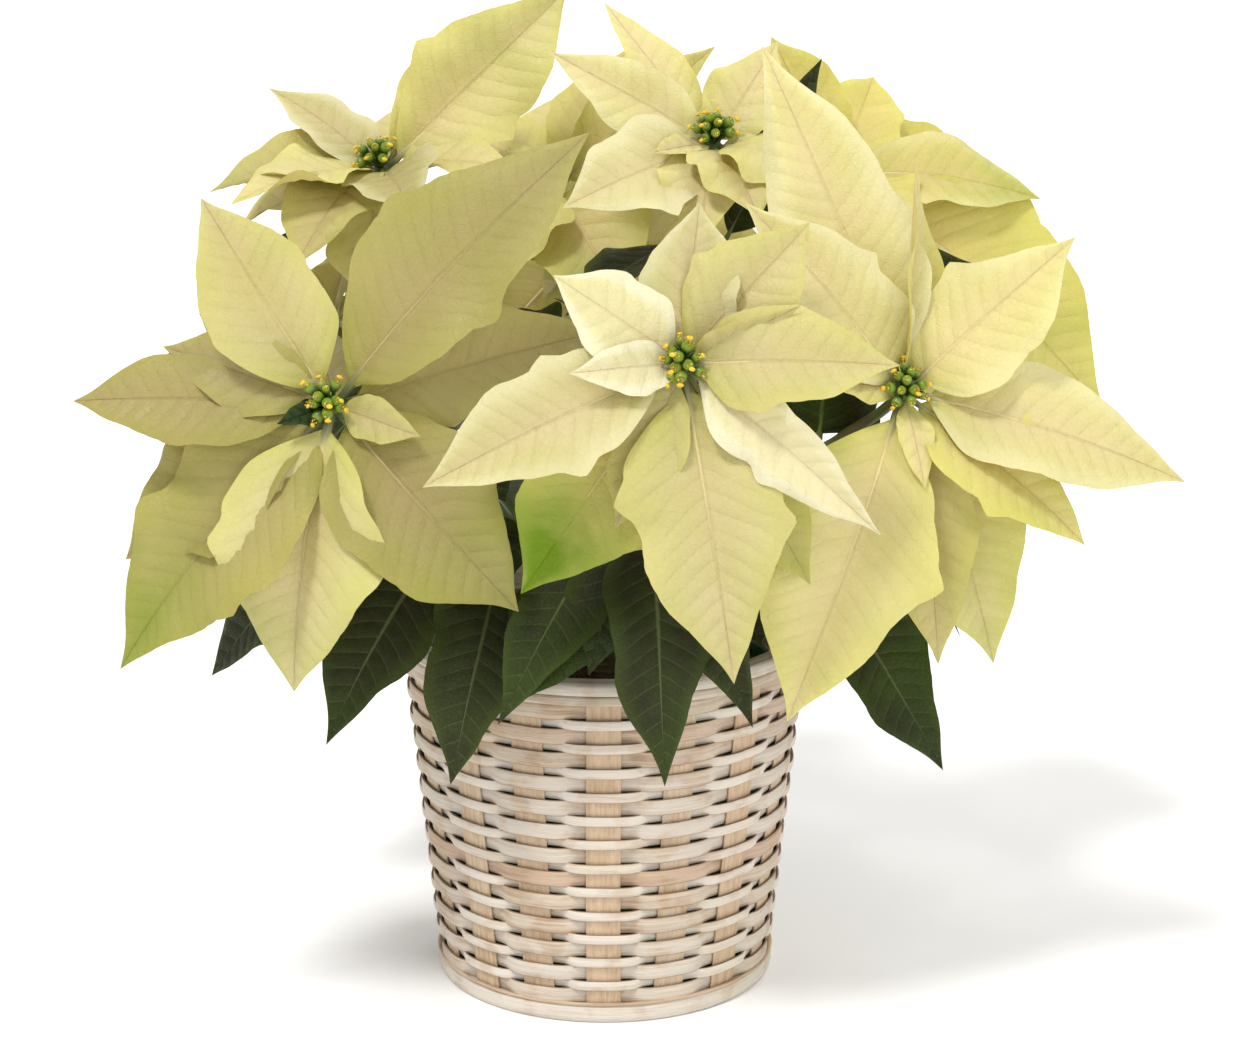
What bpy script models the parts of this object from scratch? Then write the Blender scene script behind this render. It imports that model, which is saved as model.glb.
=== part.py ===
# A cream-white poinsettia in a whitewashed woven basket, built in metres with +Z up.
# The front of the plant, as in the photograph, looks along -Y. The basket stands on z = 0.

import math

import bmesh
import bpy
import numpy as np
from mathutils import Matrix, Vector

# Driving dimensions
MM = 0.001
GAP = 0.0003

BASKET_HEIGHT = 0.160
BASKET_TOP_RADIUS = 0.0892
BASKET_FOOT_RADIUS = 0.0735
FOOT_HEIGHT = 0.008
RIM_HEIGHT = 0.011
RIM_TUBE = 0.0055
WALL_THICKNESS = 0.0045
STAKE_COUNT = 16
WEAVE_PAIRS = 12
WIDE_SHARE = 0.62
WEAVE_DEPTH = 0.0026

PANEL_THICKNESS = 0.005

POT_TOP_RADIUS = 0.0770
POT_FOOT_RADIUS = 0.0620
POT_HEIGHT = 0.132
POT_WALL = 0.0014
SOIL_TOP = 0.136

TRUNK_RADIUS = 0.0062
TRUNK_TOP = 0.184
TRUNK_ROOT = 0.100
STEM_RADIUS = 0.0026
NECK_RADIUS = 0.0022

HUB_RADIUS = 0.0042
HUB_HALF = 0.0030
CYATHIA_STALK = 0.0100
BLADE_THICKNESS = 0.0014
STALK_HALF_WIDTH = 0.0013
BRACT_STALK = 0.07
LEAF_STALK = 0.26

# Outline of a blade: share of its length and of its greatest half width
OUTLINE = (
    (0.00, 0.03),
    (0.08, 0.34),
    (0.20, 0.76),
    (0.36, 1.00),
    (0.54, 0.93),
    (0.70, 0.66),
    (0.84, 0.33),
    (0.94, 0.11),
    (1.00, 0.00),
)
COARSE_STEPS = (0.0, 0.17, 0.42, 0.72)

# Flower heads: hub (x, y, z in mm) and the way the head faces
HEADS = {
    "front_left": ((-108, -100, 280), (-0.25, -0.85, 0.46)),
    "upper_left": ((-95, 30, 351), (-0.25, -0.30, 0.92)),
    "front_centre": ((31, -135, 305), (0.02, -0.90, 0.42)),
    "front_right": ((121, -90, 283), (0.16, -0.85, 0.50)),
    "top_centre": ((46, 0, 367), (0.02, -0.40, 0.92)),
    "top_back": ((-22, 62, 338), (-0.35, -0.35, 0.87)),
    "right_back": ((102, 54, 346), (0.35, -0.45, 0.82)),
    "right_side": ((140, 52, 258), (0.85, 0.34, 0.40)),
    "left_back": ((-124, 92, 270), (-0.76, 0.42, 0.50)),
    "back_centre": ((-8, 152, 292), (-0.02, 0.82, 0.57)),
}

# The stems' order round the trunk, from the right and anticlockwise as seen from above
STEM_ORDER = (
    "top_centre", "right_side", "right_back", "back_centre", "top_back",
    "left_back", "upper_left", "front_left", "front_centre", "front_right",
)

# Bracts of each head: tip from the hub in mm (right, front, up), width in mm, lift, crook, roll in
# degrees, and, where the blade doesn't face as its head does, the way it faces
BRACTS = {
    "front_left": (
        (-108, -20, -3, 40, 0.10, 0.10, 0),
        (-70, -15, 21, 32, 0.12, 0.06, -10),
        (-57, -32, 31, 30, 0.10, 0.04, 0),
        (-55, -35, 78, 48, 0.10, 0.04, 10),
        (103, -5, 110, 60, 0.12, 0.06, 0),
        (111, -24, 26, 44, 0.06, 0.04, 0),
        (74, 18, -81, 64, 0.14, 0.10, 0),
        (-18, 12, -117, 68, 0.14, 0.10, 0),
        (-91, -5, -113, 66, 0.12, 0.10, 0),
        (-90, -26, -72, 52, 0.08, 0.06, 0),
        (36, 26, -6, 18, 0.04, 0.00, 20),
        (-22, 14, -4, 11, 0.02, 0.00, 0),
    ),
    "upper_left": (
        (-75, 10, -7, 42, 0.12, 0.10, 0),
        (-62, 42, -6, 42, 0.14, 0.10, 0),
        (-52, -30, 32, 28, 0.08, 0.06, 0),
        (-34, 55, -30, 42, 0.18, 0.10, 0),
        (17, 72, -4, 40, 0.14, 0.06, 0),
        (58, 25, 6, 36, 0.14, 0.08, 0),
        (80, -14, 78, 50, 0.04, 0.00, 0, (0.1, -1, 0.3)),
        (42, -34, 64, 26, 0.06, 0.04, 0, (0, -1, 0.4)),
        (-12, -76, 6, 44, 0.12, 0.10, 0),
        (-60, -52, -6, 40, 0.12, 0.10, 0),
        (20, -58, 18, 36, 0.10, 0.06, 0),
        (-64, -8, -26, 42, 0.14, 0.10, 0),
        (-6, 22, -54, 36, 0.16, 0.10, 0),
    ),
    "front_centre": (
        (-50, 5, 37, 36, 0.12, 0.04, 0),
        (-44, 26, 3, 21, 0.12, 0.04, 0),
        (-101, 20, -44, 43, 0.14, 0.12, 0),
        (-26, 15, -62, 28, 0.10, 0.06, 0),
        (21, 15, -126, 58, 0.14, 0.10, 0),
        (52, -8, -92, 44, 0.08, 0.06, 0),
        (77, 28, -61, 32, 0.16, 0.12, 30),
        (84, 17, 4, 42, 0.14, 0.10, 0),
        (50, -14, 54, 42, 0.10, 0.04, 0),
        (7, -24, 60, 38, 0.10, 0.04, 0),
        (46, 12, 27, 16, 0.14, 0.02, 35),
        (-64, -12, -97, 58, 0.08, 0.06, 0),
    ),
    "front_right": (
        (-65, 15, 81, 44, 0.12, 0.06, 0),
        (4, -8, 92, 36, 0.04, 0.02, 62),
        (69, -10, 62, 46, 0.10, 0.06, 0),
        (117, -5, -39, 46, 0.12, 0.10, 0),
        (75, 8, -62, 40, 0.10, 0.10, 0),
        (17, 2, -115, 38, 0.12, 0.08, 20),
        (42, -18, -121, 48, 0.10, 0.08, 0),
        (-46, 22, -133, 64, 0.12, 0.08, 0),
        (8, 24, -34, 14, 0.12, 0.04, 0),
        (-34, 20, 10, 15, 0.14, 0.04, 0),
        (-57, -40, 135, 54, 0.08, 0.04, -12),
    ),
    "top_centre": (
        (-63, 35, -19, 46, 0.10, 0.08, 0, (0, -0.9, 0.7)),
        (18, 55, -20, 38, 0.16, 0.10, 0),
        (62, 58, -18, 38, 0.18, 0.10, 0),
        (-69, -12, 39, 30, 0.06, 0.02, 0, (0, -1, 0.6)),
        (28, -22, 42, 32, 0.06, 0.02, 0, (-0.2, -1, 0.4)),
        (-46, -40, 56, 24, 0.04, 0.00, 0, (0.5, -0.7, 0.5)),
        (14, -74, 2, 38, 0.12, 0.10, 0),
        (-6, -58, 4, 30, 0.12, 0.10, 0),
        (-30, -36, 16, 28, 0.10, 0.06, 0),
        (34, 16, -2, 16, 0.14, 0.06, 0),
        (-26, 22, 2, 14, 0.10, 0.00, 0),
        (-6, 44, -32, 38, 0.16, 0.10, 0),
    ),
    "top_back": (
        (70, 20, 66, 36, 0.04, 0.02, 0, (-0.3, -1, 0.6)),
        (32, -40, 56, 34, 0.06, 0.02, 0, (0, -1, 0.6)),
        (-24, 46, -38, 48, 0.16, 0.08, 0),
        (34, 48, -48, 54, 0.16, 0.08, 0),
        (-32, 26, 8, 20, 0.10, 0.04, 0),
        (-40, -12, 6, 34, 0.10, 0.06, 0),
        (-44, -54, 14, 42, 0.12, 0.10, 0),
        (10, -78, 32, 44, 0.12, 0.10, 0),
        (56, -50, 24, 38, 0.12, 0.10, 0),
    ),
    "right_back": (
        (90, -5, -12, 42, 0.14, 0.10, 0, (0.2, -0.7, 0.7)),
        (119, 8, -104, 68, 0.14, 0.10, 0, (0.3, -0.9, 0.5)),
        (-29, -16, 58, 36, 0.06, 0.02, 0, (-0.1, -1, 0.5)),
        (18, -44, 36, 42, 0.06, 0.04, 0, (0.1, -1, 0.7)),
        (34, 42, -16, 38, 0.12, 0.08, 0),
        (-30, -66, 8, 40, 0.10, 0.08, 0),
        (26, -84, -8, 46, 0.12, 0.10, 0),
        (80, -52, -22, 46, 0.12, 0.10, 0),
        (-12, 46, -16, 32, 0.12, 0.06, 0),
    ),
    "right_side": (
        (-20, 74, 12, 40, 0.12, 0.10, 0),
        (6, 66, -52, 44, 0.12, 0.10, 0),
        (30, 8, -92, 50, 0.14, 0.10, 0),
        (34, -46, -66, 44, 0.12, 0.10, 0),
        (30, -80, -6, 44, 0.12, 0.10, 0),
        (10, -52, 50, 42, 0.10, 0.06, 0),
        (-16, 20, 58, 38, 0.08, 0.04, 0),
        (2, 24, -14, 16, 0.10, 0.00, 0),
        (6, -26, 10, 16, 0.10, 0.00, 0),
    ),
    "left_back": (
        (-24, 80, 16, 44, 0.12, 0.10, 0),
        (-44, 54, -52, 46, 0.12, 0.10, 0),
        (-46, -8, -96, 52, 0.14, 0.10, 0),
        (6, -60, -76, 48, 0.14, 0.10, 0),
        (40, -82, -6, 46, 0.12, 0.10, 0),
        (26, -52, 60, 42, 0.10, 0.06, 0),
        (26, 20, 70, 42, 0.08, 0.04, 0),
        (-24, 10, -18, 17, 0.10, 0.00, 0),
        (10, -26, 6, 16, 0.12, 0.00, 0),
    ),
    "back_centre": (
        (-86, -18, 16, 44, 0.12, 0.10, 0),
        (-62, -24, -76, 48, 0.14, 0.10, 0),
        (4, -20, -112, 54, 0.14, 0.10, 0),
        (70, -18, -84, 50, 0.14, 0.10, 0),
        (96, -10, -10, 46, 0.12, 0.10, 0),
        (60, 2, 56, 42, 0.10, 0.06, 0),
        (2, 8, 74, 42, 0.08, 0.06, 0),
        (-52, 4, 52, 40, 0.10, 0.06, 0),
        (28, -16, -14, 16, 0.12, 0.00, 0),
        (-22, -14, -26, 18, 0.12, 0.00, 0),
    ),
}

# Green leaves of each stem: tip (x, y, z in mm), place on the stem, width in mm, lift, roll in
# degrees, and, for some, the way the leaf faces
LEAVES = {
    "front_left": (
        (-115, -95, 134, 0.50, 42, 0.20, 0, (-0.2, -1, 0.6)),
        (-168, -40, 146, 0.62, 44, 0.16, 0, (-0.2, -0.8, 0.7)),
        (-63, -110, 122, 0.40, 42, 0.26, 0, (0, -1, 0.5)),
        (-142, -56, 196, 0.74, 46, 0.18, 0),
        (-92, -80, 176, 0.46, 40, 0.20, 0, (-0.2, -1, 0.6)),
        (-40, -86, 236, 0.66, 38, 0.10, 0),
        (-48, -62, 186, 0.55, 50, 0.12, 0, (0, -1, 0.5)),
    ),
    "upper_left": (
        (-172, 34, 300, 0.86, 34, 0.14, 0),
        (-140, -8, 198, 0.56, 46, 0.22, 0),
        (-66, -44, 282, 0.76, 40, 0.18, 0),
        (-62, 98, 240, 0.66, 42, 0.16, 0),
        (-22, -44, 262, 0.50, 40, 0.14, 0),
    ),
    "front_centre": (
        (-43, -116, 150, 0.40, 34, 0.26, 0, (0, -1, 0.5)),
        (25, -126, 127, 0.50, 42, 0.30, 0, (0, -1, 0.4)),
        (-6, -106, 168, 0.58, 42, 0.20, 0, (0, -1, 0.5)),
        (61, -114, 148, 0.50, 32, 0.28, 0, (0, -1, 0.4)),
        (-34, -104, 156, 0.30, 52, 0.24, 0, (0.3, -1, 0.6)),
        (64, -92, 236, 0.70, 36, 0.10, 0),
        (-22, -72, 292, 0.75, 36, 0.10, 0),
        (72, -70, 300, 0.75, 36, 0.10, 0),
    ),
    "front_right": (
        (144, -62, 111, 0.50, 40, 0.10, 0, (0.2, -1, 0.6)),
        (90, -92, 176, 0.60, 42, 0.22, 0, (0.1, -1, 0.6)),
        (166, -36, 190, 0.76, 46, 0.18, 0),
        (104, -6, 196, 0.45, 42, 0.18, 0),
        (92, -50, 282, 0.66, 52, 0.08, 0, (0, -1, 0.6)),
        (66, -66, 168, 0.35, 46, 0.12, 0, (0, -1, 0.5)),
    ),
    "top_centre": (
        (92, 8, 404, 0.66, 26, 0.02, 0, (0, -1, 0.2)),
        (8, -70, 256, 0.66, 44, 0.16, 0),
        (96, -30, 262, 0.62, 42, 0.16, 0),
        (-16, -44, 304, 0.80, 34, 0.08, 0),
        (-22, 12, 300, 0.42, 38, 0.12, 0),
    ),
    "top_back": (
        (-84, 84, 300, 0.76, 42, 0.16, 0),
        (40, 96, 262, 0.64, 44, 0.18, 0),
        (-52, 70, 256, 0.40, 36, 0.14, 0),
    ),
    "right_back": (
        (156, -24, 322, 0.62, 42, 0.06, 0, (0.2, -1, 0.5)),
        (96, 120, 250, 0.62, 44, 0.18, 0),
        (84, 12, 250, 0.50, 42, 0.14, 0),
    ),
    "right_side": (
        (158, 20, 144, 0.50, 44, 0.24, 0),
        (150, 96, 150, 0.60, 46, 0.22, 0),
        (104, 118, 176, 0.42, 42, 0.20, 0),
        (118, -14, 226, 0.60, 42, 0.14, 0),
        (100, 88, 226, 0.75, 40, 0.16, 0),
    ),
    "left_back": (
        (-150, 96, 140, 0.54, 46, 0.24, 0),
        (-106, 132, 146, 0.42, 44, 0.26, 0),
        (-172, 30, 160, 0.66, 44, 0.20, 0),
        (-92, 4, 196, 0.45, 44, 0.18, 0),
    ),
    "back_centre": (
        (-42, 150, 128, 0.42, 44, 0.28, 0),
        (30, 162, 132, 0.50, 46, 0.28, 0),
        (92, 140, 128, 0.58, 42, 0.24, 0),
        (-76, 164, 196, 0.70, 44, 0.18, 0),
        (38, 100, 206, 0.60, 44, 0.18, 0),
        (-52, 104, 200, 0.50, 42, 0.18, 0),
        (-58, 128, 262, 0.75, 40, 0.14, 0),
    ),
}


def unit(vector):
    vector = np.asarray(vector, float)
    return vector / np.linalg.norm(vector)


def material(name, colour, roughness):
    made = bpy.data.materials.new(name)
    made.use_nodes = True
    shader = made.node_tree.nodes["Principled BSDF"]
    shader.inputs["Base Color"].default_value = (*colour, 1.0)
    shader.inputs["Roughness"].default_value = roughness
    shader.inputs["Metallic"].default_value = 0.0
    made.diffuse_color = (*colour, 1.0)
    return made


def new_object(name, mesh, made_of, smooth=False):
    obj = bpy.data.objects.new(name, mesh)
    mesh.materials.append(made_of)
    mesh.shade_flat()
    if smooth:
        mesh.shade_smooth()
    bpy.context.scene.collection.objects.link(obj)
    return obj


def mesh_of(name, points, faces):
    mesh = bpy.data.meshes.new(name)
    mesh.from_pydata([tuple(p) for p in points], [], faces)
    mesh.validate()
    shape = bmesh.new()
    shape.from_mesh(mesh)
    bmesh.ops.recalc_face_normals(shape, faces=shape.faces)
    shape.to_mesh(mesh)
    shape.free()
    return mesh


def spun(name, profile, steps, made_of):
    """A closed profile of (radius, height) pairs spun once round the Z axis."""
    shape = bmesh.new()
    ring = [shape.verts.new((radius, 0, height)) for radius, height in profile]
    edges = [shape.edges.new((ring[i], ring[(i + 1) % len(ring)])) for i in range(len(ring))]
    bmesh.ops.spin(
        shape, geom=ring + edges, cent=(0, 0, 0), axis=(0, 0, 1), angle=math.tau, steps=steps, use_merge=True
    )
    bmesh.ops.remove_doubles(shape, verts=shape.verts, dist=1e-6)
    loose = [edge for edge in shape.edges if not edge.link_faces]
    bmesh.ops.delete(shape, geom=loose, context="EDGES")
    bmesh.ops.recalc_face_normals(shape, faces=shape.faces)
    mesh = bpy.data.meshes.new(name)
    shape.to_mesh(mesh)
    shape.free()
    return new_object(name, mesh, made_of, smooth=True)


def tube_mesh(name, points, radii, sides):
    """A closed tube through the points, with flat ends."""
    rings = []
    across = unit(np.cross(points[1] - points[0], (0.31, 0.87, 0.12)))
    for i, point in enumerate(points):
        ahead = unit(points[min(i + 1, len(points) - 1)] - points[max(i - 1, 0)])
        across = unit(across - ahead * np.dot(across, ahead))
        other = np.cross(ahead, across)
        turns = [math.tau * k / sides for k in range(sides)]
        rings.append([point + radii[i] * (math.cos(a) * across + math.sin(a) * other) for a in turns])
    faces = [list(range(sides)), [sides * (len(points) - 1) + k for k in range(sides)]]
    for i in range(len(points) - 1):
        for k in range(sides):
            a, b = sides * i + k, sides * i + (k + 1) % sides
            faces.append([a, b, b + sides, a + sides])
    return mesh_of(name, [p for ring in rings for p in ring], faces)


def bezier(a, b, c, d, t):
    t = np.asarray(t, float)[:, None]
    return a * (1 - t) ** 3 + 3 * b * t * (1 - t) ** 2 + 3 * c * t * t * (1 - t) + d * t ** 3


def outline(share):
    places, widths = zip(*OUTLINE)
    return float(np.interp(share, places, widths))


def blade_lines(base, tip, facing, lift, crook, roll, steps):
    """Centre line of a blade with its width direction and its upward normal at each step."""
    chord = tip - base
    length = np.linalg.norm(chord)
    ahead = chord / length
    above = unit(facing - ahead * np.dot(facing, ahead))
    first = base + chord / 3 + above * lift * length
    second = base + chord * 2 / 3 + above * crook * length
    ends = (base, first, second, tip)
    steps = np.asarray(steps, float)
    centre = bezier(*ends, steps)
    tangent = bezier(*ends, np.minimum(steps + 0.01, 1.0)) - bezier(*ends, np.maximum(steps - 0.01, 0.0))
    rows = []
    for point, way in zip(centre, tangent):
        way = unit(way)
        across = unit(np.cross(above, way))
        normal = np.cross(way, across)
        turn = math.radians(roll)
        rows.append((point, math.cos(turn) * across + math.sin(turn) * normal,
                     math.cos(turn) * normal - math.sin(turn) * across))
    return rows


def swing(share):
    """How far the edge swings at this share of the blade: out on one side where it is in on the other."""
    return math.cos(math.pi * (share - 0.17) / 0.27)


def blade_mesh(name, base, tip, facing, width, lift, crook, roll, stalk, fold, wave, jag):
    """One leaf or bract: a stalk, then an outline with thin edges and a waved rim, closed all round."""
    shares = [0.0] + [stalk + (1 - stalk) * u for u in COARSE_STEPS] + [1.0]
    rows = blade_lines(base, tip, facing, lift, crook, roll, shares)
    points = []
    for i, (point, across, normal) in enumerate(rows[:-1]):
        share = 0.0 if i == 0 else COARSE_STEPS[i - 1]
        half = max(outline(share) * width / 2, STALK_HALF_WIDTH)
        body = i > 1
        thick = BLADE_THICKNESS * (1.0 if body else 1.25)
        rise = half * fold if body else 0.0
        sway = swing(share) * half if body else 0.0
        points.append(point - across * (half + jag * sway) + normal * (rise + wave * sway))
        points.append(point + normal * thick / 2)
        points.append(point + across * (half - jag * sway) + normal * (rise - wave * sway))
        points.append(point - normal * thick / 2)
    points.append(rows[-1][0])
    faces = [[0, 1, 2], [0, 2, 3]]
    for i in range(len(shares) - 2):
        a = 4 * i
        b = a + 4
        faces += [[a, b, b + 1], [a, b + 1, a + 1]]
        faces += [[a + 2, b + 1, b + 2], [a + 2, a + 1, b + 1]]
        faces += [[a, b + 3, b], [a, a + 3, b + 3]]
        faces += [[a + 2, b + 2, b + 3], [a + 2, b + 3, a + 3]]
    last = 4 * (len(shares) - 2)
    end = len(points) - 1
    faces += [[last + k, last + (k + 1) % 4, end] for k in range(4)]
    return mesh_of(name, points, faces)


def joined(name, meshes, made_of):
    """All the meshes fused by one Boolean union into one object."""
    helpers = bpy.data.collections.new(name + "_pieces")
    bpy.context.scene.collection.children.link(helpers)
    for i, mesh in enumerate(meshes[1:]):
        piece = bpy.data.objects.new(f"{name}_piece_{i}", mesh)
        helpers.objects.link(piece)
    obj = new_object(name, meshes[0], made_of)
    union = obj.modifiers.new("Union", "BOOLEAN")
    union.operation = "UNION"
    union.operand_type = "COLLECTION"
    union.collection = helpers
    union.solver = "EXACT"
    graph = bpy.context.evaluated_depsgraph_get()
    fused = bpy.data.meshes.new_from_object(obj.evaluated_get(graph))
    obj.modifiers.clear()
    obj.data = fused
    for piece in list(helpers.objects):
        bpy.data.objects.remove(piece)
    bpy.data.collections.remove(helpers)
    if not fused.materials:
        fused.materials.append(made_of)
    return obj


def hub_frame(key):
    hub, facing = HEADS[key]
    return np.array(hub, float) * MM, unit(facing)


def axis_drum(name, start, end, radius, sides):
    return tube_mesh(name, np.array([start, end]), [radius, radius], sides)


def stem_line(key):
    """The stem's centre line, from beside the trunk to just under the hub."""
    hub, facing = hub_frame(key)
    slot = STEM_ORDER.index(key)
    lean = math.tau * slot / len(STEM_ORDER)
    height = TRUNK_TOP - 0.010 - 0.024 * (slot % 2)
    away = np.array((math.cos(lean), math.sin(lean), 0.0))
    start = away * (TRUNK_RADIUS + GAP + STEM_RADIUS + 0.0004) + np.array((0, 0, height))
    finish = hub - facing * (HUB_HALF + 3 * GAP)
    reach = np.linalg.norm(finish - start)
    rise = np.array((0, 0, 1.0))
    return bezier(
        start, start + rise * reach * 0.30 + away * reach * 0.10, finish - facing * reach * 0.30,
        finish, np.linspace(0, 1, 9)
    )


def build_stem(key, made_of):
    line = stem_line(key)
    radii = np.linspace(STEM_RADIUS, NECK_RADIUS, len(line))
    meshes = [tube_mesh(f"stem_{key}", line, radii, 6)]
    for i, (x, y, z, place, width, lift, roll, *look) in enumerate(LEAVES[key]):
        at = place * (len(line) - 1)
        low = int(at)
        base = line[low] + (line[low + 1] - line[low]) * (at - low)
        tip = np.array((x, y, z), float) * MM
        facing = unit(look[0]) if look else unit(unit((tip - base) * (1, 1, 0)) * 0.35 + (0, 0, 1))
        wave = 0.10 if i % 2 else -0.12
        name = f"leaf_{key}_{i}"
        bend = (width * MM, lift, lift * 0.8, roll)
        meshes.append(blade_mesh(name, base, tip, facing, *bend, LEAF_STALK, 0.12, wave, 0.13))
    return joined(f"stem_{key}", meshes, made_of)


def build_bracts(key, made_of):
    hub, facing = hub_frame(key)
    meshes = [axis_drum(f"hub_{key}", hub - facing * HUB_HALF, hub + facing * HUB_HALF, HUB_RADIUS, 8)]
    rows = BRACTS[key]
    for i, (right, front, up, width, lift, crook, roll, *look) in enumerate(rows):
        face = unit(look[0]) if look else facing
        way = np.array((right, -front, up), float) * MM
        tip = hub + way
        base = hub + facing * HUB_HALF * (0.6 * (i % 4) / 3 - 0.3) + unit(way) * HUB_RADIUS * 0.3
        wave = 0.08 if i % 2 else -0.08
        name = f"bract_{key}_{i}"
        bend = (width * MM, lift, crook, roll)
        meshes.append(blade_mesh(name, base, tip, face, *bend, BRACT_STALK, 0.16, wave, 0.06))
    return joined(f"bracts_{key}", meshes, made_of)


def ball(name, centre, radius, up=(0, 0, 1), stretch=1.0, level=1):
    shape = bmesh.new()
    bmesh.ops.create_icosphere(shape, subdivisions=level, radius=radius)
    bmesh.ops.scale(shape, verts=shape.verts, vec=(1, 1, stretch))
    turn = Vector((0, 0, 1)).rotation_difference(Vector(up)).to_matrix().to_4x4()
    bmesh.ops.transform(shape, verts=shape.verts, matrix=Matrix.Translation(Vector(centre)) @ turn)
    mesh = bpy.data.meshes.new(name)
    shape.to_mesh(mesh)
    shape.free()
    return mesh


def build_cyathia(key, made_of):
    hub, facing = hub_frame(key)
    across = unit(np.cross(facing, (0.2, 0.3, 0.9)))
    other = np.cross(facing, across)
    foot = hub + facing * (HUB_HALF + GAP)
    middle = hub + facing * CYATHIA_STALK
    meshes = [axis_drum(f"stalk_{key}", foot, middle, 0.0020, 5)]
    meshes.append(ball(f"core_{key}", middle, 0.0046))
    for k in range(7):
        turn = math.tau * k / 6
        tilt = math.radians(66) if k < 6 else 0.0
        side = math.cos(turn) * across + math.sin(turn) * other
        way = math.sin(tilt) * side + math.cos(tilt) * facing
        meshes.append(ball(f"bead_{key}_{k}", middle + way * 0.0066, 0.0028, way, 1.25))
    return joined(f"cyathia_{key}", meshes, made_of)


def basket_radius(height):
    share = (height - FOOT_HEIGHT) / (BASKET_HEIGHT - FOOT_HEIGHT)
    return BASKET_FOOT_RADIUS + (BASKET_TOP_RADIUS - BASKET_FOOT_RADIUS) * share - 0.0008


def weave_levels():
    """Heights of the wall's grid and the kind of strip at each: two levels a wide row, one a narrow row."""
    low = FOOT_HEIGHT + GAP
    high = BASKET_HEIGHT - RIM_HEIGHT - GAP
    pitch = (high - low) / (WEAVE_PAIRS + WIDE_SHARE)
    levels = []
    for pair in range(WEAVE_PAIRS + 1):
        bottom = low + pair * pitch
        levels.append((bottom + 0.12 * WIDE_SHARE * pitch, 1))
        levels.append((bottom + 0.88 * WIDE_SHARE * pitch, 1))
        if pair < WEAVE_PAIRS:
            levels.append((bottom + (WIDE_SHARE + (1 - WIDE_SHARE) / 2) * pitch, 0))
    return [(low, 0.5)] + levels + [(high, 0.5)]


def build_wall(made_of):
    """The woven wall: strips bulge out over every other stake and pass behind the ones between."""
    columns = 2 * STAKE_COUNT
    points = []
    levels = weave_levels()
    for height, kind in levels:
        for column in range(columns):
            angle = math.tau * column / columns - math.pi / 2
            stake = 0 if column % 2 else (1 if column % 4 == 2 else -1)
            over = stake * (2 * kind - 1)
            radius = basket_radius(height) + WEAVE_DEPTH * (0.5 * over - 0.2 * (stake == 0))
            points.append((radius * math.cos(angle), radius * math.sin(angle), height))
    outer = len(levels)
    for height in (levels[-1][0], levels[0][0]):
        for column in range(columns):
            angle = math.tau * column / columns - math.pi / 2
            radius = basket_radius(height) - WALL_THICKNESS
            points.append((radius * math.cos(angle), radius * math.sin(angle), height))
    faces = []
    rings = outer + 2
    for ring in range(rings):
        for column in range(columns):
            a = ring * columns + column
            b = ring * columns + (column + 1) % columns
            above = ((ring + 1) % rings) * columns
            c = above + (column + 1) % columns
            d = above + column
            if (ring + column) % 2:
                faces += [[a, b, c], [a, c, d]]
            else:
                faces += [[a, b, d], [b, c, d]]
    return new_object("basket_wall", mesh_of("basket_wall", points, faces), made_of)


def build_basket(strips, band, panel):
    inner = basket_radius(FOOT_HEIGHT) - WALL_THICKNESS
    build_wall(strips)
    out = BASKET_FOOT_RADIUS + 0.0012
    spun(
        "basket_foot",
        [(inner, 0.0), (out - 0.0014, 0.0), (out, 0.0022), (out - 0.0008, FOOT_HEIGHT), (inner, FOOT_HEIGHT)],
        36, band,
    )
    edge = inner - GAP
    spun("basket_base", [(0, 0), (edge, 0), (edge, PANEL_THICKNESS), (0, PANEL_THICKNESS)], 36, panel)
    middle = basket_radius(BASKET_HEIGHT) - WALL_THICKNESS * 0.4
    half = RIM_HEIGHT / 2
    profile = []
    for k in range(6):
        turn = math.tau * k / 6
        rise = half * math.sin(turn) / math.sin(math.pi / 3)
        profile.append((middle + RIM_TUBE * math.cos(turn), BASKET_HEIGHT - half + rise))
    spun("basket_rim", profile, 36, band)


def soil_radius(height, low):
    """The soil's radius at this height, just clear of the pot's sloping wall."""
    inner_foot = POT_FOOT_RADIUS - POT_WALL
    inner_top = POT_TOP_RADIUS - 2 * POT_WALL
    share = (height - low - POT_WALL) / (POT_HEIGHT - POT_WALL)
    return inner_foot + (inner_top - inner_foot) * share - 2 * GAP


def build_pot(plastic, earth, wood):
    low = PANEL_THICKNESS + GAP
    high = low + POT_HEIGHT
    spun(
        "grow_pot",
        [(0, low), (POT_FOOT_RADIUS, low), (POT_TOP_RADIUS, high), (POT_TOP_RADIUS - 2 * POT_WALL, high),
         (POT_FOOT_RADIUS - POT_WALL, low + POT_WALL), (0, low + POT_WALL)],
        32, plastic,
    )
    floor = low + POT_WALL + GAP
    shoulder = SOIL_TOP - 0.003
    hole = TRUNK_RADIUS + GAP
    spun(
        "soil",
        [(0, floor), (soil_radius(floor, low), floor), (soil_radius(shoulder, low), shoulder),
         (soil_radius(shoulder, low) - 0.006, SOIL_TOP), (hole + 0.012, SOIL_TOP + 0.002),
         (hole, SOIL_TOP + 0.002), (hole, TRUNK_ROOT - GAP), (0, TRUNK_ROOT - GAP)],
        24, earth,
    )
    trunk = tube_mesh(
        "trunk",
        np.array([(0, 0, TRUNK_ROOT), (0, 0, 0.140), (0, 0, 0.170), (0, 0, TRUNK_TOP)]),
        [TRUNK_RADIUS, TRUNK_RADIUS, TRUNK_RADIUS * 0.94, TRUNK_RADIUS * 0.80], 12,
    )
    new_object("trunk", trunk, wood, smooth=True)


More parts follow.
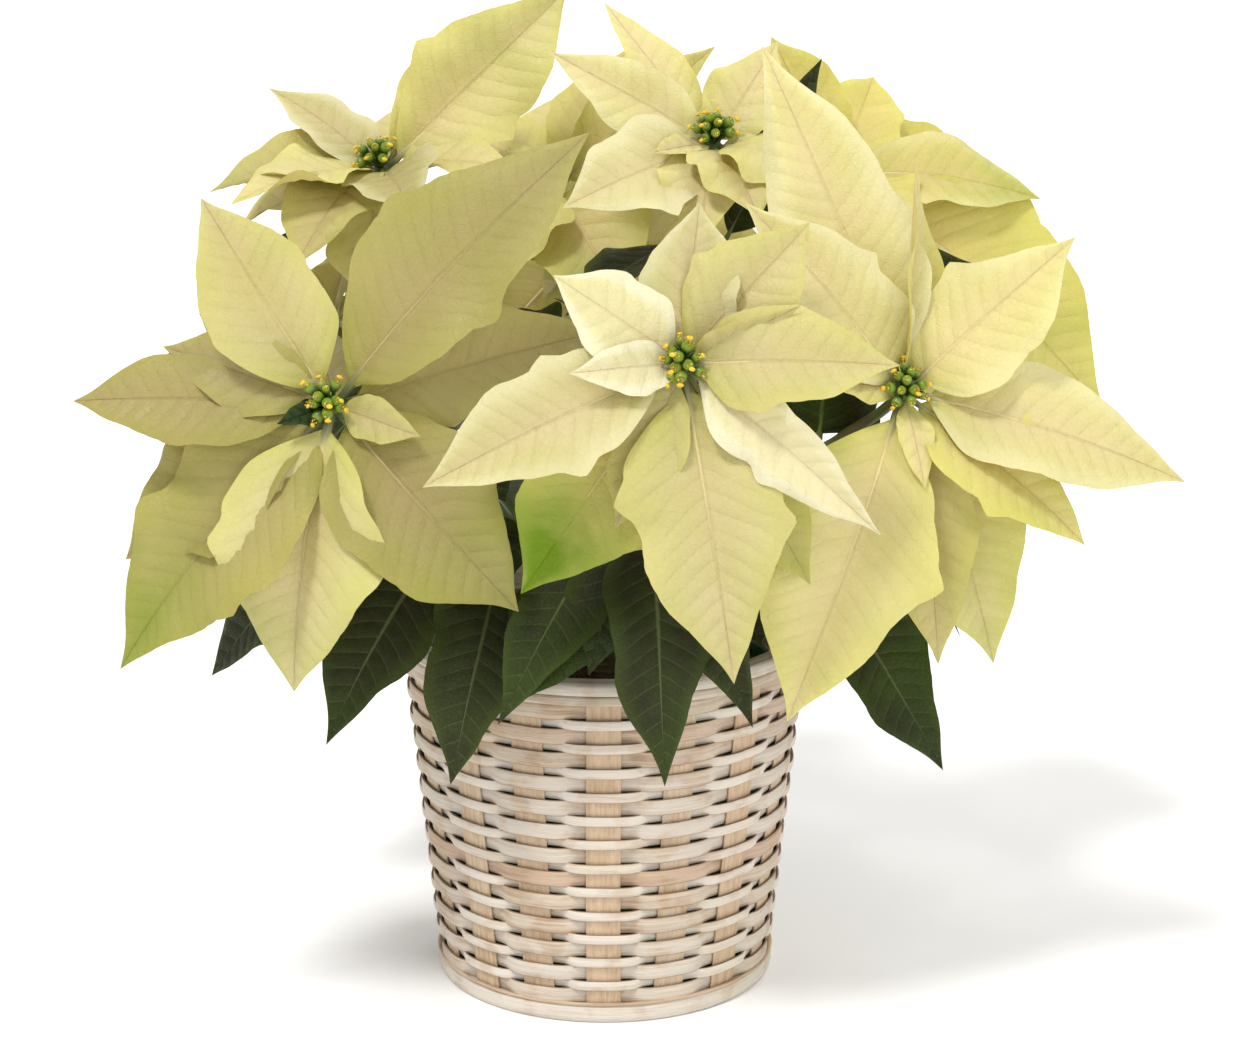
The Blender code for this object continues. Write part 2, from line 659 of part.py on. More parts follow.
def main():
    for obj in list(bpy.data.objects):
        bpy.data.objects.remove(obj)
    cream = material("bract_cream", (0.80, 0.74, 0.42), 0.50)
    green = material("leaf_green", (0.055, 0.105, 0.030), 0.38)
    beads = material("cyathia_green", (0.30, 0.42, 0.05), 0.45)
    strips = material("whitewashed_splint", (0.70, 0.62, 0.52), 0.62)
    band = material("whitewashed_band", (0.74, 0.67, 0.57), 0.60)
    panel = material("plain_splint", (0.55, 0.41, 0.26), 0.68)
    plastic = material("pot_plastic", (0.05, 0.16, 0.08), 0.45)
    earth = material("potting_soil", (0.045, 0.030, 0.020), 0.95)
    wood = material("woody_stem", (0.20, 0.15, 0.07), 0.75)
    build_basket(strips, band, panel)
    build_pot(plastic, earth, wood)
    for key in HEADS:
        build_stem(key, green)
        build_bracts(key, cream)
        build_cyathia(key, beads)


main()
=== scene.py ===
# %% [markdown]
# # A cream poinsettia in a whitewashed splint basket
#
# The real object is a poinsettia still in its nursery pot, which has been dropped into a round woven
# basket. This lesson dresses the plain solids of that plant with finer pieces: veined bracts and leaves,
# the green beads in the middle of each flower head, flat splints woven round flat stakes, and soil.
# Everything is in metres with +Z up, and the front of the plant looks along -Y.

# %% Load the solids and keep their box
import math

import bmesh
import bpy
import numpy as np
from mathutils import Matrix, Vector


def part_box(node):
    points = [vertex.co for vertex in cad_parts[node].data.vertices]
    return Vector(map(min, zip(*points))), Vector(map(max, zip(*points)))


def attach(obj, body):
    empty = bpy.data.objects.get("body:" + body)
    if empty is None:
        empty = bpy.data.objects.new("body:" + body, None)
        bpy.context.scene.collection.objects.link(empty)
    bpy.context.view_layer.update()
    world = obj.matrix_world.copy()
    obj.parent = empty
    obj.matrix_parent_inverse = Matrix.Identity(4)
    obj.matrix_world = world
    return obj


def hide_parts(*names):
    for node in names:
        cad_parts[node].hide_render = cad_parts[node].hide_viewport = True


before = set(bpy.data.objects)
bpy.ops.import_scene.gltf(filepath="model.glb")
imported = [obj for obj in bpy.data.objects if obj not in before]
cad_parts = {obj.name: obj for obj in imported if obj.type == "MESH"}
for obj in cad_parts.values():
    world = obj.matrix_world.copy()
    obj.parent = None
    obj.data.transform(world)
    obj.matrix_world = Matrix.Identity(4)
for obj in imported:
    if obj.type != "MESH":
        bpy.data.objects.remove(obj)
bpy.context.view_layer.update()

MM = 0.001

# %% [markdown]
# ## The camera
#
# A camera's lens and its distance trade against each other: a long lens from far away flattens a plant,
# a short one close by makes the front heads look huge. Here the basket's foot and rim are two ellipses of
# different flatness, which only one height and tilt can give. So the camera stands 1.5 m away, 0.63 m
# high and tipped 16 degrees down, with a 104 mm lens, and needs no shift at all.

# %% Set up the camera
def link(name, data):
    """A new object in the scene."""
    made = bpy.data.objects.new(name, data)
    bpy.context.scene.collection.objects.link(made)
    return made


CAMERA_AT = (0.0072, -1.5, 0.63)
CAMERA_PITCH = 16.04
CAMERA_LENS = 104.07

camera_data = bpy.data.cameras.new("camera")
camera_data.sensor_width = 36
camera_data.lens = CAMERA_LENS
camera = link("camera", camera_data)
camera.location = CAMERA_AT
camera.rotation_euler = (math.radians(90 - CAMERA_PITCH), 0, 0)
bpy.context.scene.camera = camera
print("camera", CAMERA_AT, "pitch", CAMERA_PITCH, "lens", CAMERA_LENS)

# %% [markdown]
# ## The studio
#
# The plant stands on a plain pale floor in soft light. A big even world gives the fill, and suns with a
# wide angle give soft shadows that don't fade with distance, so the floor stays white right to the back.
# The main sun stands high on the left, which throws the basket's shadow to the right. A weaker one stands
# behind on the right: it shines through the thin bracts there, which makes them glow.

# %% Light the plant and lay the floor
def studio_sun(name, strength, left, up, softness, tone):
    """A soft sun that shines from left degrees left of the camera and up degrees above the floor."""
    data = bpy.data.lights.new(name, "SUN")
    data.energy = strength
    data.angle = math.radians(softness)
    data.color = tone
    link(name, data).rotation_euler = (math.radians(90 - up), 0, math.radians(-left))


studio_sun("key_light", 1.9, 34, 58, 12, (1.0, 0.985, 0.96))
studio_sun("fill_light", 0.75, -38, 24, 50, (1.0, 1.0, 1.0))
studio_sun("back_light", 0.8, -150, 48, 25, (1.0, 0.98, 0.92))
world = bpy.data.worlds.new("studio")
world.use_nodes = True
for label, value in (("Color", (1, 1, 1, 1)), ("Strength", 0.72)):
    world.node_tree.nodes["Background"].inputs[label].default_value = value
bpy.context.scene.world = world
bpy.context.scene.view_settings.view_transform = "Standard"

# %% [markdown]
# ## Short words for shader nodes
#
# Materials are little graphs. These helpers place a node, fill its sockets with numbers or with links,
# and give back an output, so that a material further down reads like a sentence.

# %% Helpers for materials
def put(tree, kind, inputs=None, **settings):
    """A new node with its settings made and its sockets filled or linked."""
    node = tree.nodes.new(kind)
    for name, value in settings.items():
        setattr(node, name, value)
    for name, value in (inputs or {}).items():
        if isinstance(value, Wire):
            tree.links.new(value.socket, node.inputs[name])
        else:
            node.inputs[name].default_value = value
    return node


def sign(operation):
    """A sign of arithmetic that lays a Math node."""
    return lambda self, other=0.0: self.math(operation, other)


class Wire:
    """One output of a node, which can be added, multiplied and so on like a number."""

    def __init__(self, node, output=0):
        self.tree, self.socket = node.id_data, node.outputs[output]

    def math(self, operation, other=0.0, clamp=False):
        given = {0: self, 1: other}
        return Wire(put(self.tree, "ShaderNodeMath", given, operation=operation, use_clamp=clamp))

    __add__, __sub__, __mul__ = sign("ADD"), sign("SUBTRACT"), sign("MULTIPLY")
    __truediv__, __pow__ = sign("DIVIDE"), sign("POWER")
    __gt__, __abs__ = sign("GREATER_THAN"), sign("ABSOLUTE")

    def __rsub__(self, first):
        return Wire(put(self.tree, "ShaderNodeMath", {0: first, 1: self}, operation="SUBTRACT"))

    def span(self, low, high, out_low=0.0, out_high=1.0, smooth=True):
        """Its place between low and high, eased, as a number from out_low to out_high."""
        kind = "SMOOTHSTEP" if smooth else "LINEAR"
        given = {"Value": self, "From Min": low, "From Max": high, "To Min": out_low, "To Max": out_high}
        return Wire(put(self.tree, "ShaderNodeMapRange", given, interpolation_type=kind))


class Finish:
    """A material under way. Its skin is its colour so far, painted and washed coat by coat."""

    def __init__(self, name, roughness, colour):
        self.material = bpy.data.materials.new(name)
        self.material.use_nodes = True
        self.material.diffuse_color = (*colour, 1.0)
        self.tree = self.material.node_tree
        self.shader = self.tree.nodes["Principled BSDF"]
        self.shader.inputs["Base Color"].default_value = (*colour, 1.0)
        self.shader.inputs["Roughness"].default_value = roughness

    def feed(self, label, wire):
        self.tree.links.new(wire.socket, self.shader.inputs[label])

    def mark(self, name):
        """A number that the mesh carries at each point."""
        node = put(self.tree, "ShaderNodeAttribute", attribute_name=name, attribute_type="GEOMETRY")
        return Wire(node, "Fac")

    def effect(self, group, **numbers):
        """What a shared effect puts out, by name."""
        node = put(self.tree, "ShaderNodeGroup", numbers, node_tree=group)
        return {output.name: Wire(node, output.name) for output in node.outputs}

    def patches(self, scale, detail=3.0):
        return self.effect(mottle, Scale=scale, Detail=detail)["Patches"]

    def mix(self, share, under, over, mode="MIX"):
        """Colour over laid on colour under by share."""
        given = {0: share, 6: under, 7: over}
        given = {i: (*value, 1.0) if isinstance(value, tuple) else value for i, value in given.items()}
        return Wire(put(self.tree, "ShaderNodeMix", given, data_type="RGBA", blend_type=mode), 2)

    def paint(self, share, over, under=None, mode="MIX"):
        """A coat laid by share on the skin so far, or on the colour under."""
        self.skin = self.mix(share, under or self.skin, over, mode)
        self.feed("Base Color", self.skin)

    def wash(self, share, colour):
        """The skin multiplied by a colour, by share."""
        self.paint(share, colour, mode="MULTIPLY")

    def bump(self, height, strength, distance):
        given = {"Height": height, "Strength": strength, "Distance": distance}
        normal = Wire(put(self.tree, "ShaderNodeBump", given))
        self.feed("Normal", normal)
        return normal


def new_group(name, inputs, outputs):
    """An empty node group with named sockets: its tree, what comes in, and its output node."""
    tree = bpy.data.node_groups.new(name, "ShaderNodeTree")
    for label, value in inputs.items():
        kind = "NodeSocketVector" if isinstance(value, tuple) else "NodeSocketFloat"
        tree.interface.new_socket(label, in_out="INPUT", socket_type=kind).default_value = value
    for label in outputs:
        tree.interface.new_socket(label, in_out="OUTPUT", socket_type="NodeSocketFloat")
    source = tree.nodes.new("NodeGroupInput")
    return tree, {label: Wire(source, label) for label in inputs}, tree.nodes.new("NodeGroupOutput")


def put_out(result, wires):
    for label, wire in wires.items():
        result.id_data.links.new(wire.socket, result.inputs[label])


print("material helpers ready")

# %% [markdown]
# ## Three effects that the materials share
#
# A node group is built once and placed in each material with its own numbers. *Rib pattern* draws the
# midrib, the side veins that leave it at a slant, and the puffed quilts between them, from the blade's
# own UV map: U runs across the blade, V from stalk to tip, and the underside is shifted by two so that
# it can be told apart. Its Reach is the blade's half width there, so the veins keep one angle to the
# midrib right to the tip. *Long grain* is noise stretched along a splint. *Mottle* is soft uneven patches.

# %% Build the shared effects
RIB_STAGGER = 0.43      # how far the right half's side veins are shifted against the left's
RIB_SWEEP = 1.2         # how they curve forward on their way to the margin
QUILT_EDGE = 2.5        # how flat a quilt is before it falls to the vein

rib_pattern, given, result = new_group(
    "rib_pattern", {"Count": 14.0, "Slant": 0.8, "Line": 0.86, "Reach": 0.2},
    ("Midrib", "Veins", "Quilt", "Margin", "Along", "Underside"),
)
uv = Wire(put(rib_pattern, "ShaderNodeUVMap", uv_map="blade"))
parts = put(rib_pattern, "ShaderNodeSeparateXYZ", {"Vector": uv})
u, along = Wire(parts, "X"), Wire(parts, "Y")
under = u > 1.5
centred = u - 0.5 - under * 2.0
across = abs(centred) * 2.0
right_half = (centred > 0.0) * RIB_STAGGER
height = (along - across ** RIB_SWEEP * given["Slant"] * given["Reach"]) * given["Count"]
near = abs((height + right_half).math("FRACT") - 0.5) * 2.0
rib_width = along.span(0.0, 1.0, 0.075, 0.02, smooth=False)
put_out(result, {
    "Midrib": (across / rib_width).span(1.0, 0.2),
    "Veins": near.span(given["Line"], 1.0) * across.span(1.0, 0.55),
    "Quilt": (1.0 - near ** QUILT_EDGE) * across.span(1.0, 0.6, 0.25, 1.0),
    "Margin": across, "Along": along, "Underside": under,
})


def noise(place, **numbers):
    return Wire(put(place.tree, "ShaderNodeTexNoise", {"Vector": place, **numbers}), "Fac")


def object_place(tree):
    return Wire(put(tree, "ShaderNodeTexCoord"), "Object")


long_grain, given, result = new_group(
    "long_grain", {"Stretch": (30, 30, 500), "Roughness": 0.6}, ("Streaks", "Threads"),
)
stretched = Wire(put(long_grain, "ShaderNodeVectorMath", {0: object_place(long_grain), 1: given["Stretch"]},
                     operation="MULTIPLY"))
put_out(result, {
    "Streaks": noise(stretched, Scale=1.0, Detail=3.0, Roughness=given["Roughness"]).span(0.3, 0.7),
    "Threads": noise(stretched, Scale=3.1, Detail=2.0).span(0.25, 0.75),
})

mottle, given, result = new_group("mottle", {"Scale": 40.0, "Detail": 3.0}, ("Patches",))
cloud = noise(object_place(mottle), Scale=given["Scale"], Detail=given["Detail"])
put_out(result, {"Patches": cloud.span(0.3, 0.7)})
print("shared effects:", [g.name for g in bpy.data.node_groups])

# %% [markdown]
# ## The floor's finish
#
# A studio floor is nearly white paper. It still gets a trace of unevenness, which keeps the shadow from
# looking printed. The floor is stage: it isn't part of the plant.

# %% Lay the pale floor
def solidify(shape, name, finishes):
    """An object of this bmesh, which is used up, with its finishes."""
    mesh = bpy.data.meshes.new(name)
    shape.to_mesh(mesh)
    shape.free()
    for finish in finishes:
        mesh.materials.append(finish.material)
    return link(name, mesh)


paper = Finish("pale_floor", 0.85, (0.93, 0.93, 0.93))
paper.paint(paper.patches(3.0), (0.935, 0.935, 0.935), (0.925, 0.925, 0.925))
paper.shader.inputs["Specular IOR Level"].default_value = 0.1
shape = bmesh.new()
bmesh.ops.create_circle(shape, cap_ends=True, segments=96, radius=9.0)
floor = solidify(shape, "floor", [paper])
floor.location.z = -0.0002
print("floor laid")

# %% [markdown]
# ## How the plant is laid out
#
# Ten stems rise from one woody trunk. Each ends in a flower head: a hub with a way that it faces. The
# heads at the front face the viewer, those on top face up, and those behind face away, as the plant
# turns each head to the light. The numbers are millimetres, and are the same ones as the solids use.

# %% Place the heads and the trunk
HEADS = {
    "front_left": ((-108, -100, 280), (-0.25, -0.85, 0.46)),
    "upper_left": ((-95, 30, 351), (-0.25, -0.3, 0.92)),
    "front_centre": ((31, -135, 305), (0.02, -0.9, 0.42)),
    "front_right": ((121, -90, 283), (0.16, -0.85, 0.5)),
    "top_centre": ((46, 0, 367), (0.02, -0.4, 0.92)),
    "top_back": ((-22, 62, 338), (-0.35, -0.35, 0.87)),
    "right_back": ((102, 54, 346), (0.35, -0.45, 0.82)),
    "right_side": ((140, 52, 258), (0.85, 0.34, 0.4)),
    "left_back": ((-124, 92, 270), (-0.76, 0.42, 0.5)),
    "back_centre": ((-8, 152, 292), (-0.02, 0.82, 0.57)),
}
STEM_ORDER = (
    "top_centre", "right_side", "right_back", "back_centre", "top_back",
    "left_back", "upper_left", "front_left", "front_centre", "front_right",
)
GAP = 0.0003
TRUNK_RADIUS = 0.0062
TRUNK_TOP = 0.184
STEM_RADIUS = 0.0026
NECK_RADIUS = 0.0022
HUB_RADIUS = 0.0042
HUB_HALF = 0.003
print("heads:", len(HEADS))

# %% [markdown]
# ## Where each bract points
#
# A poinsettia's "petals" are bracts, which are coloured leaves. They aren't alike: those low in the whorl
# are as long as a hand is wide, those beside the beads are thumbnails. So each has its own line: where its
# tip is, how wide it is, how it arches and rolls. Numbers in the table beat a random scatter here, since
# the whorl is a portrait of one plant.

# %% List the bracts
# Tip from the hub in mm (right, front, up), width in mm, lift, crook, roll in degrees, and, where the
# bract doesn't face as its head does, the way it faces
BRACTS = {
    "front_left": (
        (-108, -20, -3, 40, 0.1, 0.1, 0), (-70, -15, 21, 32, 0.12, 0.06, -10),
        (-57, -32, 31, 30, 0.1, 0.04, 0), (-55, -35, 78, 48, 0.1, 0.04, 10),
        (103, -5, 110, 60, 0.12, 0.06, 0), (111, -24, 26, 44, 0.06, 0.04, 0),
        (74, 18, -81, 64, 0.14, 0.1, 0), (-18, 12, -117, 68, 0.14, 0.1, 0),
        (-91, -5, -113, 66, 0.12, 0.1, 0), (-90, -26, -72, 52, 0.08, 0.06, 0),
        (36, 26, -6, 18, 0.04, 0, 20), (-22, 14, -4, 11, 0.02, 0, 0),
    ),
    "upper_left": (
        (-75, 10, -7, 42, 0.12, 0.1, 0), (-62, 42, -6, 42, 0.14, 0.1, 0), (-52, -30, 32, 28, 0.08, 0.06, 0),
        (-34, 55, -30, 42, 0.18, 0.1, 0), (17, 72, -4, 40, 0.14, 0.06, 0), (58, 25, 6, 36, 0.14, 0.08, 0),
        (80, -14, 78, 50, 0.04, 0, 0, (0.1, -1, 0.3)), (42, -34, 64, 26, 0.06, 0.04, 0, (0, -1, 0.4)),
        (-12, -76, 6, 44, 0.12, 0.1, 0), (-60, -52, -6, 40, 0.12, 0.1, 0), (20, -58, 18, 36, 0.1, 0.06, 0),
        (-64, -8, -26, 42, 0.14, 0.1, 0), (-6, 22, -54, 36, 0.16, 0.1, 0),
    ),
    "front_centre": (
        (-50, 5, 37, 36, 0.12, 0.04, 0), (-44, 26, 3, 21, 0.12, 0.04, 0),
        (-101, 20, -44, 43, 0.14, 0.12, 0), (-26, 15, -62, 28, 0.1, 0.06, 0),
        (21, 15, -126, 58, 0.14, 0.1, 0), (52, -8, -92, 44, 0.08, 0.06, 0),
        (77, 28, -61, 32, 0.16, 0.12, 30), (84, 17, 4, 42, 0.14, 0.1, 0), (50, -14, 54, 42, 0.1, 0.04, 0),
        (7, -24, 60, 38, 0.1, 0.04, 0), (46, 12, 27, 16, 0.14, 0.02, 35),
        (-64, -12, -97, 58, 0.08, 0.06, 0),
    ),
    "front_right": (
        (-65, 15, 81, 44, 0.12, 0.06, 0), (4, -8, 92, 36, 0.04, 0.02, 62), (69, -10, 62, 46, 0.1, 0.06, 0),
        (117, -5, -39, 46, 0.12, 0.1, 0), (75, 8, -62, 40, 0.1, 0.1, 0), (17, 2, -115, 38, 0.12, 0.08, 20),
        (42, -18, -121, 48, 0.1, 0.08, 0), (-46, 22, -133, 64, 0.12, 0.08, 0),
        (8, 24, -34, 14, 0.12, 0.04, 0), (-34, 20, 10, 15, 0.14, 0.04, 0),
        (-57, -40, 135, 54, 0.08, 0.04, -12),
    ),
    "top_centre": (
        (-63, 35, -19, 46, 0.1, 0.08, 0, (0, -0.9, 0.7)), (18, 55, -20, 38, 0.16, 0.1, 0),
        (62, 58, -18, 38, 0.18, 0.1, 0), (-69, -12, 39, 30, 0.06, 0.02, 0, (0, -1, 0.6)),
        (28, -22, 42, 32, 0.06, 0.02, 0, (-0.2, -1, 0.4)), (-46, -40, 56, 24, 0.04, 0, 0, (0.5, -0.7, 0.5)),
        (14, -74, 2, 38, 0.12, 0.1, 0), (-6, -58, 4, 30, 0.12, 0.1, 0), (-30, -36, 16, 28, 0.1, 0.06, 0),
        (34, 16, -2, 16, 0.14, 0.06, 0), (-26, 22, 2, 14, 0.1, 0, 0), (-6, 44, -32, 38, 0.16, 0.1, 0),
    ),
    "top_back": (
        (70, 20, 66, 36, 0.04, 0.02, 0, (-0.3, -1, 0.6)), (32, -40, 56, 34, 0.06, 0.02, 0, (0, -1, 0.6)),
        (-24, 46, -38, 48, 0.16, 0.08, 0), (34, 48, -48, 54, 0.16, 0.08, 0), (-32, 26, 8, 20, 0.1, 0.04, 0),
        (-40, -12, 6, 34, 0.1, 0.06, 0), (-44, -54, 14, 42, 0.12, 0.1, 0), (10, -78, 32, 44, 0.12, 0.1, 0),
        (56, -50, 24, 38, 0.12, 0.1, 0),
    ),
    "right_back": (
        (90, -5, -12, 42, 0.14, 0.1, 0, (0.2, -0.7, 0.7)),
        (119, 8, -104, 68, 0.14, 0.1, 0, (0.3, -0.9, 0.5)),
        (-29, -16, 58, 36, 0.06, 0.02, 0, (-0.1, -1, 0.5)),
        (18, -44, 36, 42, 0.06, 0.04, 0, (0.1, -1, 0.7)), (34, 42, -16, 38, 0.12, 0.08, 0),
        (-30, -66, 8, 40, 0.1, 0.08, 0), (26, -84, -8, 46, 0.12, 0.1, 0), (80, -52, -22, 46, 0.12, 0.1, 0),
        (-12, 46, -16, 32, 0.12, 0.06, 0),
    ),
    "right_side": (
        (-20, 74, 12, 40, 0.12, 0.1, 0), (6, 66, -52, 44, 0.12, 0.1, 0), (30, 8, -92, 50, 0.14, 0.1, 0),
        (34, -46, -66, 44, 0.12, 0.1, 0), (30, -80, -6, 44, 0.12, 0.1, 0), (10, -52, 50, 42, 0.1, 0.06, 0),
        (-16, 20, 58, 38, 0.08, 0.04, 0), (2, 24, -14, 16, 0.1, 0, 0), (6, -26, 10, 16, 0.1, 0, 0),
    ),
    "left_back": (
        (-24, 80, 16, 44, 0.12, 0.1, 0), (-44, 54, -52, 46, 0.12, 0.1, 0), (-46, -8, -96, 52, 0.14, 0.1, 0),
        (6, -60, -76, 48, 0.14, 0.1, 0), (40, -82, -6, 46, 0.12, 0.1, 0), (26, -52, 60, 42, 0.1, 0.06, 0),
        (26, 20, 70, 42, 0.08, 0.04, 0), (-24, 10, -18, 17, 0.1, 0, 0), (10, -26, 6, 16, 0.12, 0, 0),
    ),
    "back_centre": (
        (-86, -18, 16, 44, 0.12, 0.1, 0), (-62, -24, -76, 48, 0.14, 0.1, 0),
        (4, -20, -112, 54, 0.14, 0.1, 0), (70, -18, -84, 50, 0.14, 0.1, 0),
        (96, -10, -10, 46, 0.12, 0.1, 0), (60, 2, 56, 42, 0.1, 0.06, 0), (2, 8, 74, 42, 0.08, 0.06, 0),
        (-52, 4, 52, 40, 0.1, 0.06, 0), (28, -16, -14, 16, 0.12, 0, 0), (-22, -14, -26, 18, 0.12, 0, 0),
    ),
}
# What sets a bract apart, by its row; None stands for the head's other bracts.
# Share of green left in a bract that hasn't finished turning cream
GREENING = {
    "front_left": {4: 0.1, 6: 0.25, 7: 0.2, 8: 0.45, 11: 2}, "upper_left": {6: 0.25, 7: 0.45, 0: 0.15},
    "front_centre": {11: 1, 4: 0.06, 5: 0.3}, "front_right": {6: 0.3, 4: 0.25},
    "top_centre": {2: 0.15, 9: 0.3}, "top_back": {2: 0.35, 3: 0.5, 4: 0.55}, "right_back": {0: 0.3, 1: 0.3},
    "right_side": {1: 0.25, 2: 0.4}, "left_back": {1: 0.35, 4: 0.15}, "back_centre": {2: 0.45, 6: 0.2},
}
# How dull it is: 0 is fresh cream, 1 an older olive beige. This is partly the bract's age and partly
# painted shade and light: the whole front_left head is made duller as painted shade for its side turned
# from the light, and a few bracts lying in shade, such as front_left row 5 and top_centre row 0, are made
# fresher as painted light.
DULLNESS_AND_PAINTED_SHADE = {
    "front_left": {None: 0.84, 3: 0.5, 5: 0.4, 7: 0.22, 10: 0.5},
    "front_centre": {None: 0.34, 0: 0.05, 1: 0.05, 2: 0.42, 4: 0.2, 6: 0, 3: 0.5, 8: 0.4, 11: 0.1},
    "front_right": {None: 0.08, 5: 0.45, 4: 0.2}, "upper_left": {None: 0.12, 0: 0.4, 2: 0.5, 4: 0.6, 3: 0.6},
    "top_centre": {None: 0.12, 0: 0, 8: 0.1, 11: 0, 1: 0.1}, "top_back": {None: 0.2},
    "right_back": {None: 0.12}, "right_side": {None: 0.1}, "left_back": {None: 0.4},
    "back_centre": {None: 0.2},
}
# How yellow it is: the bract's own yellow, and on the right_back head mostly a painted glow of light
# shining through its bracts
YELLOW_AND_PAINTED_GLOW = {
    "front_left": {8: 0.3}, "front_centre": {11: 0.85, 5: 0.6}, "front_right": {None: 0.22, 4: 0.6},
    "right_back": {None: 0.75}, "right_side": {None: 0.55}, "upper_left": {None: 0.15},
    "top_back": {None: 0.3}, "left_back": {None: 0.2}, "back_centre": {None: 0.3},
}
# Share of a painted highlight: a paler, almost white margin where a lit fold or edge catches the light
PAINTED_HIGHLIGHT = {
    "front_right": {10: 0.45, 0: 0.45, 2: 0.3, 3: 0.35}, "top_centre": {3: 0.35, 0: 0.5},
    "front_centre": {6: 1, 0: 0.85, 1: 0.95, 2: 0.4, 9: 0.4}, "upper_left": {2: 0.45, 4: 0.3},
    "right_back": {0: 0.25}, "right_side": {5: 0.3}, "left_back": {5: 0.3},
}
# A bend of its own: each margin's curl, the fold along the midrib, the twist in degrees
HAND_BENT = {
    "front_right": {10: (0, -1.5, 0.34, 6), 4: (0.4, -0.6, 0.45, -14)},
    "front_centre": {4: (0, -0.3, 0.34, 4), 6: (-0.5, 0.6, 0.36, 36), 7: (0.8, -0.8, 0.4, -20),
                     2: (0, 0.9, 0.5, 14)},
    "front_left": {4: (0, -0.5, 0.46, 10), 6: (0.5, 0, 0.42, -8), 7: (-0.8, -0.6, 0.4, 0),
                   3: (0, 0.4, 0.5, 10)},
    "upper_left": {6: (0, -0.5, 0.44, 10)}, "top_centre": {0: (-0.6, 0.5, 0.3, 8)},
}


def set_apart(table, key, row, usual=0.0):
    """What one of these tables says of a bract."""
    rows = table.get(key, {})
    return rows.get(row, rows.get(None, usual))


print("bracts:", sum(len(rows) for rows in BRACTS.values()))

# %% [markdown]
# ## Where each green leaf points
#
# Below the bracts the same stems carry ordinary dark green leaves on long stalks. They droop outwards over
# the basket's rim and fill the middle of the plant.

# %% List the green leaves
# Tip (x, y, z in mm), place on the stem, width in mm, lift, roll in degrees, and, for some, the way the
# leaf faces
LEAVES = {
    "front_left": (
        (-115, -95, 134, 0.5, 42, 0.2, 0, (-0.2, -1, 0.6)),
        (-168, -40, 146, 0.62, 44, 0.16, 0, (-0.2, -0.8, 0.7)),
        (-63, -110, 122, 0.4, 42, 0.26, 0, (0, -1, 0.5)), (-142, -56, 196, 0.74, 46, 0.18, 0),
        (-92, -80, 176, 0.46, 40, 0.2, 0, (-0.2, -1, 0.6)), (-40, -86, 236, 0.66, 38, 0.1, 0),
        (-48, -62, 186, 0.55, 50, 0.12, 0, (0, -1, 0.5)),
    ),
    "upper_left": (
        (-172, 34, 300, 0.86, 34, 0.14, 0), (-140, -8, 198, 0.56, 46, 0.22, 0),
        (-66, -44, 282, 0.76, 40, 0.18, 0), (-62, 98, 240, 0.66, 42, 0.16, 0),
        (-22, -44, 262, 0.5, 40, 0.14, 0),
    ),
    "front_centre": (
        (-43, -116, 150, 0.4, 34, 0.26, 0, (0, -1, 0.5)), (25, -126, 127, 0.5, 42, 0.3, 0, (0, -1, 0.4)),
        (-6, -106, 168, 0.58, 42, 0.2, 0, (0, -1, 0.5)), (61, -114, 148, 0.5, 32, 0.28, 0, (0, -1, 0.4)),
        (-34, -104, 156, 0.3, 52, 0.24, 0, (0.3, -1, 0.6)), (64, -92, 236, 0.7, 36, 0.1, 0),
        (-22, -72, 292, 0.75, 36, 0.1, 0), (72, -70, 300, 0.75, 36, 0.1, 0),
    ),
    "front_right": (
        (144, -62, 111, 0.5, 40, 0.1, 0, (0.2, -1, 0.6)), (90, -92, 176, 0.6, 42, 0.22, 0, (0.1, -1, 0.6)),
        (166, -36, 190, 0.76, 46, 0.18, 0), (104, -6, 196, 0.45, 42, 0.18, 0),
        (92, -50, 282, 0.66, 52, 0.08, 0, (0, -1, 0.6)), (66, -66, 168, 0.35, 46, 0.12, 0, (0, -1, 0.5)),
    ),
    "top_centre": (
        (92, 8, 404, 0.66, 26, 0.02, 0, (0, -1, 0.2)), (8, -70, 256, 0.66, 44, 0.16, 0),
        (96, -30, 262, 0.62, 42, 0.16, 0), (-16, -44, 304, 0.8, 34, 0.08, 0),
        (-22, 12, 300, 0.42, 38, 0.12, 0),
    ),
    "top_back": (
        (-84, 84, 300, 0.76, 42, 0.16, 0), (40, 96, 262, 0.64, 44, 0.18, 0),
        (-52, 70, 256, 0.4, 36, 0.14, 0),
    ),
    "right_back": (
        (156, -24, 322, 0.62, 42, 0.06, 0, (0.2, -1, 0.5)), (96, 120, 250, 0.62, 44, 0.18, 0),
        (84, 12, 250, 0.5, 42, 0.14, 0),
    ),
    "right_side": (
        (158, 20, 144, 0.5, 44, 0.24, 0), (150, 96, 150, 0.6, 46, 0.22, 0),
        (104, 118, 176, 0.42, 42, 0.2, 0), (118, -14, 226, 0.6, 42, 0.14, 0),
        (100, 88, 226, 0.75, 40, 0.16, 0),
    ),
    "left_back": (
        (-150, 96, 140, 0.54, 46, 0.24, 0), (-106, 132, 146, 0.42, 44, 0.26, 0),
        (-172, 30, 160, 0.66, 44, 0.2, 0), (-92, 4, 196, 0.45, 44, 0.18, 0),
    ),
    "back_centre": (
        (-42, 150, 128, 0.42, 44, 0.28, 0), (30, 162, 132, 0.5, 46, 0.28, 0),
        (92, 140, 128, 0.58, 42, 0.24, 0), (-76, 164, 196, 0.7, 44, 0.18, 0),
        (38, 100, 206, 0.6, 44, 0.18, 0), (-52, 104, 200, 0.5, 42, 0.18, 0),
        (-58, 128, 262, 0.75, 40, 0.14, 0),
    ),
}
print("leaves:", sum(len(rows) for rows in LEAVES.values()))

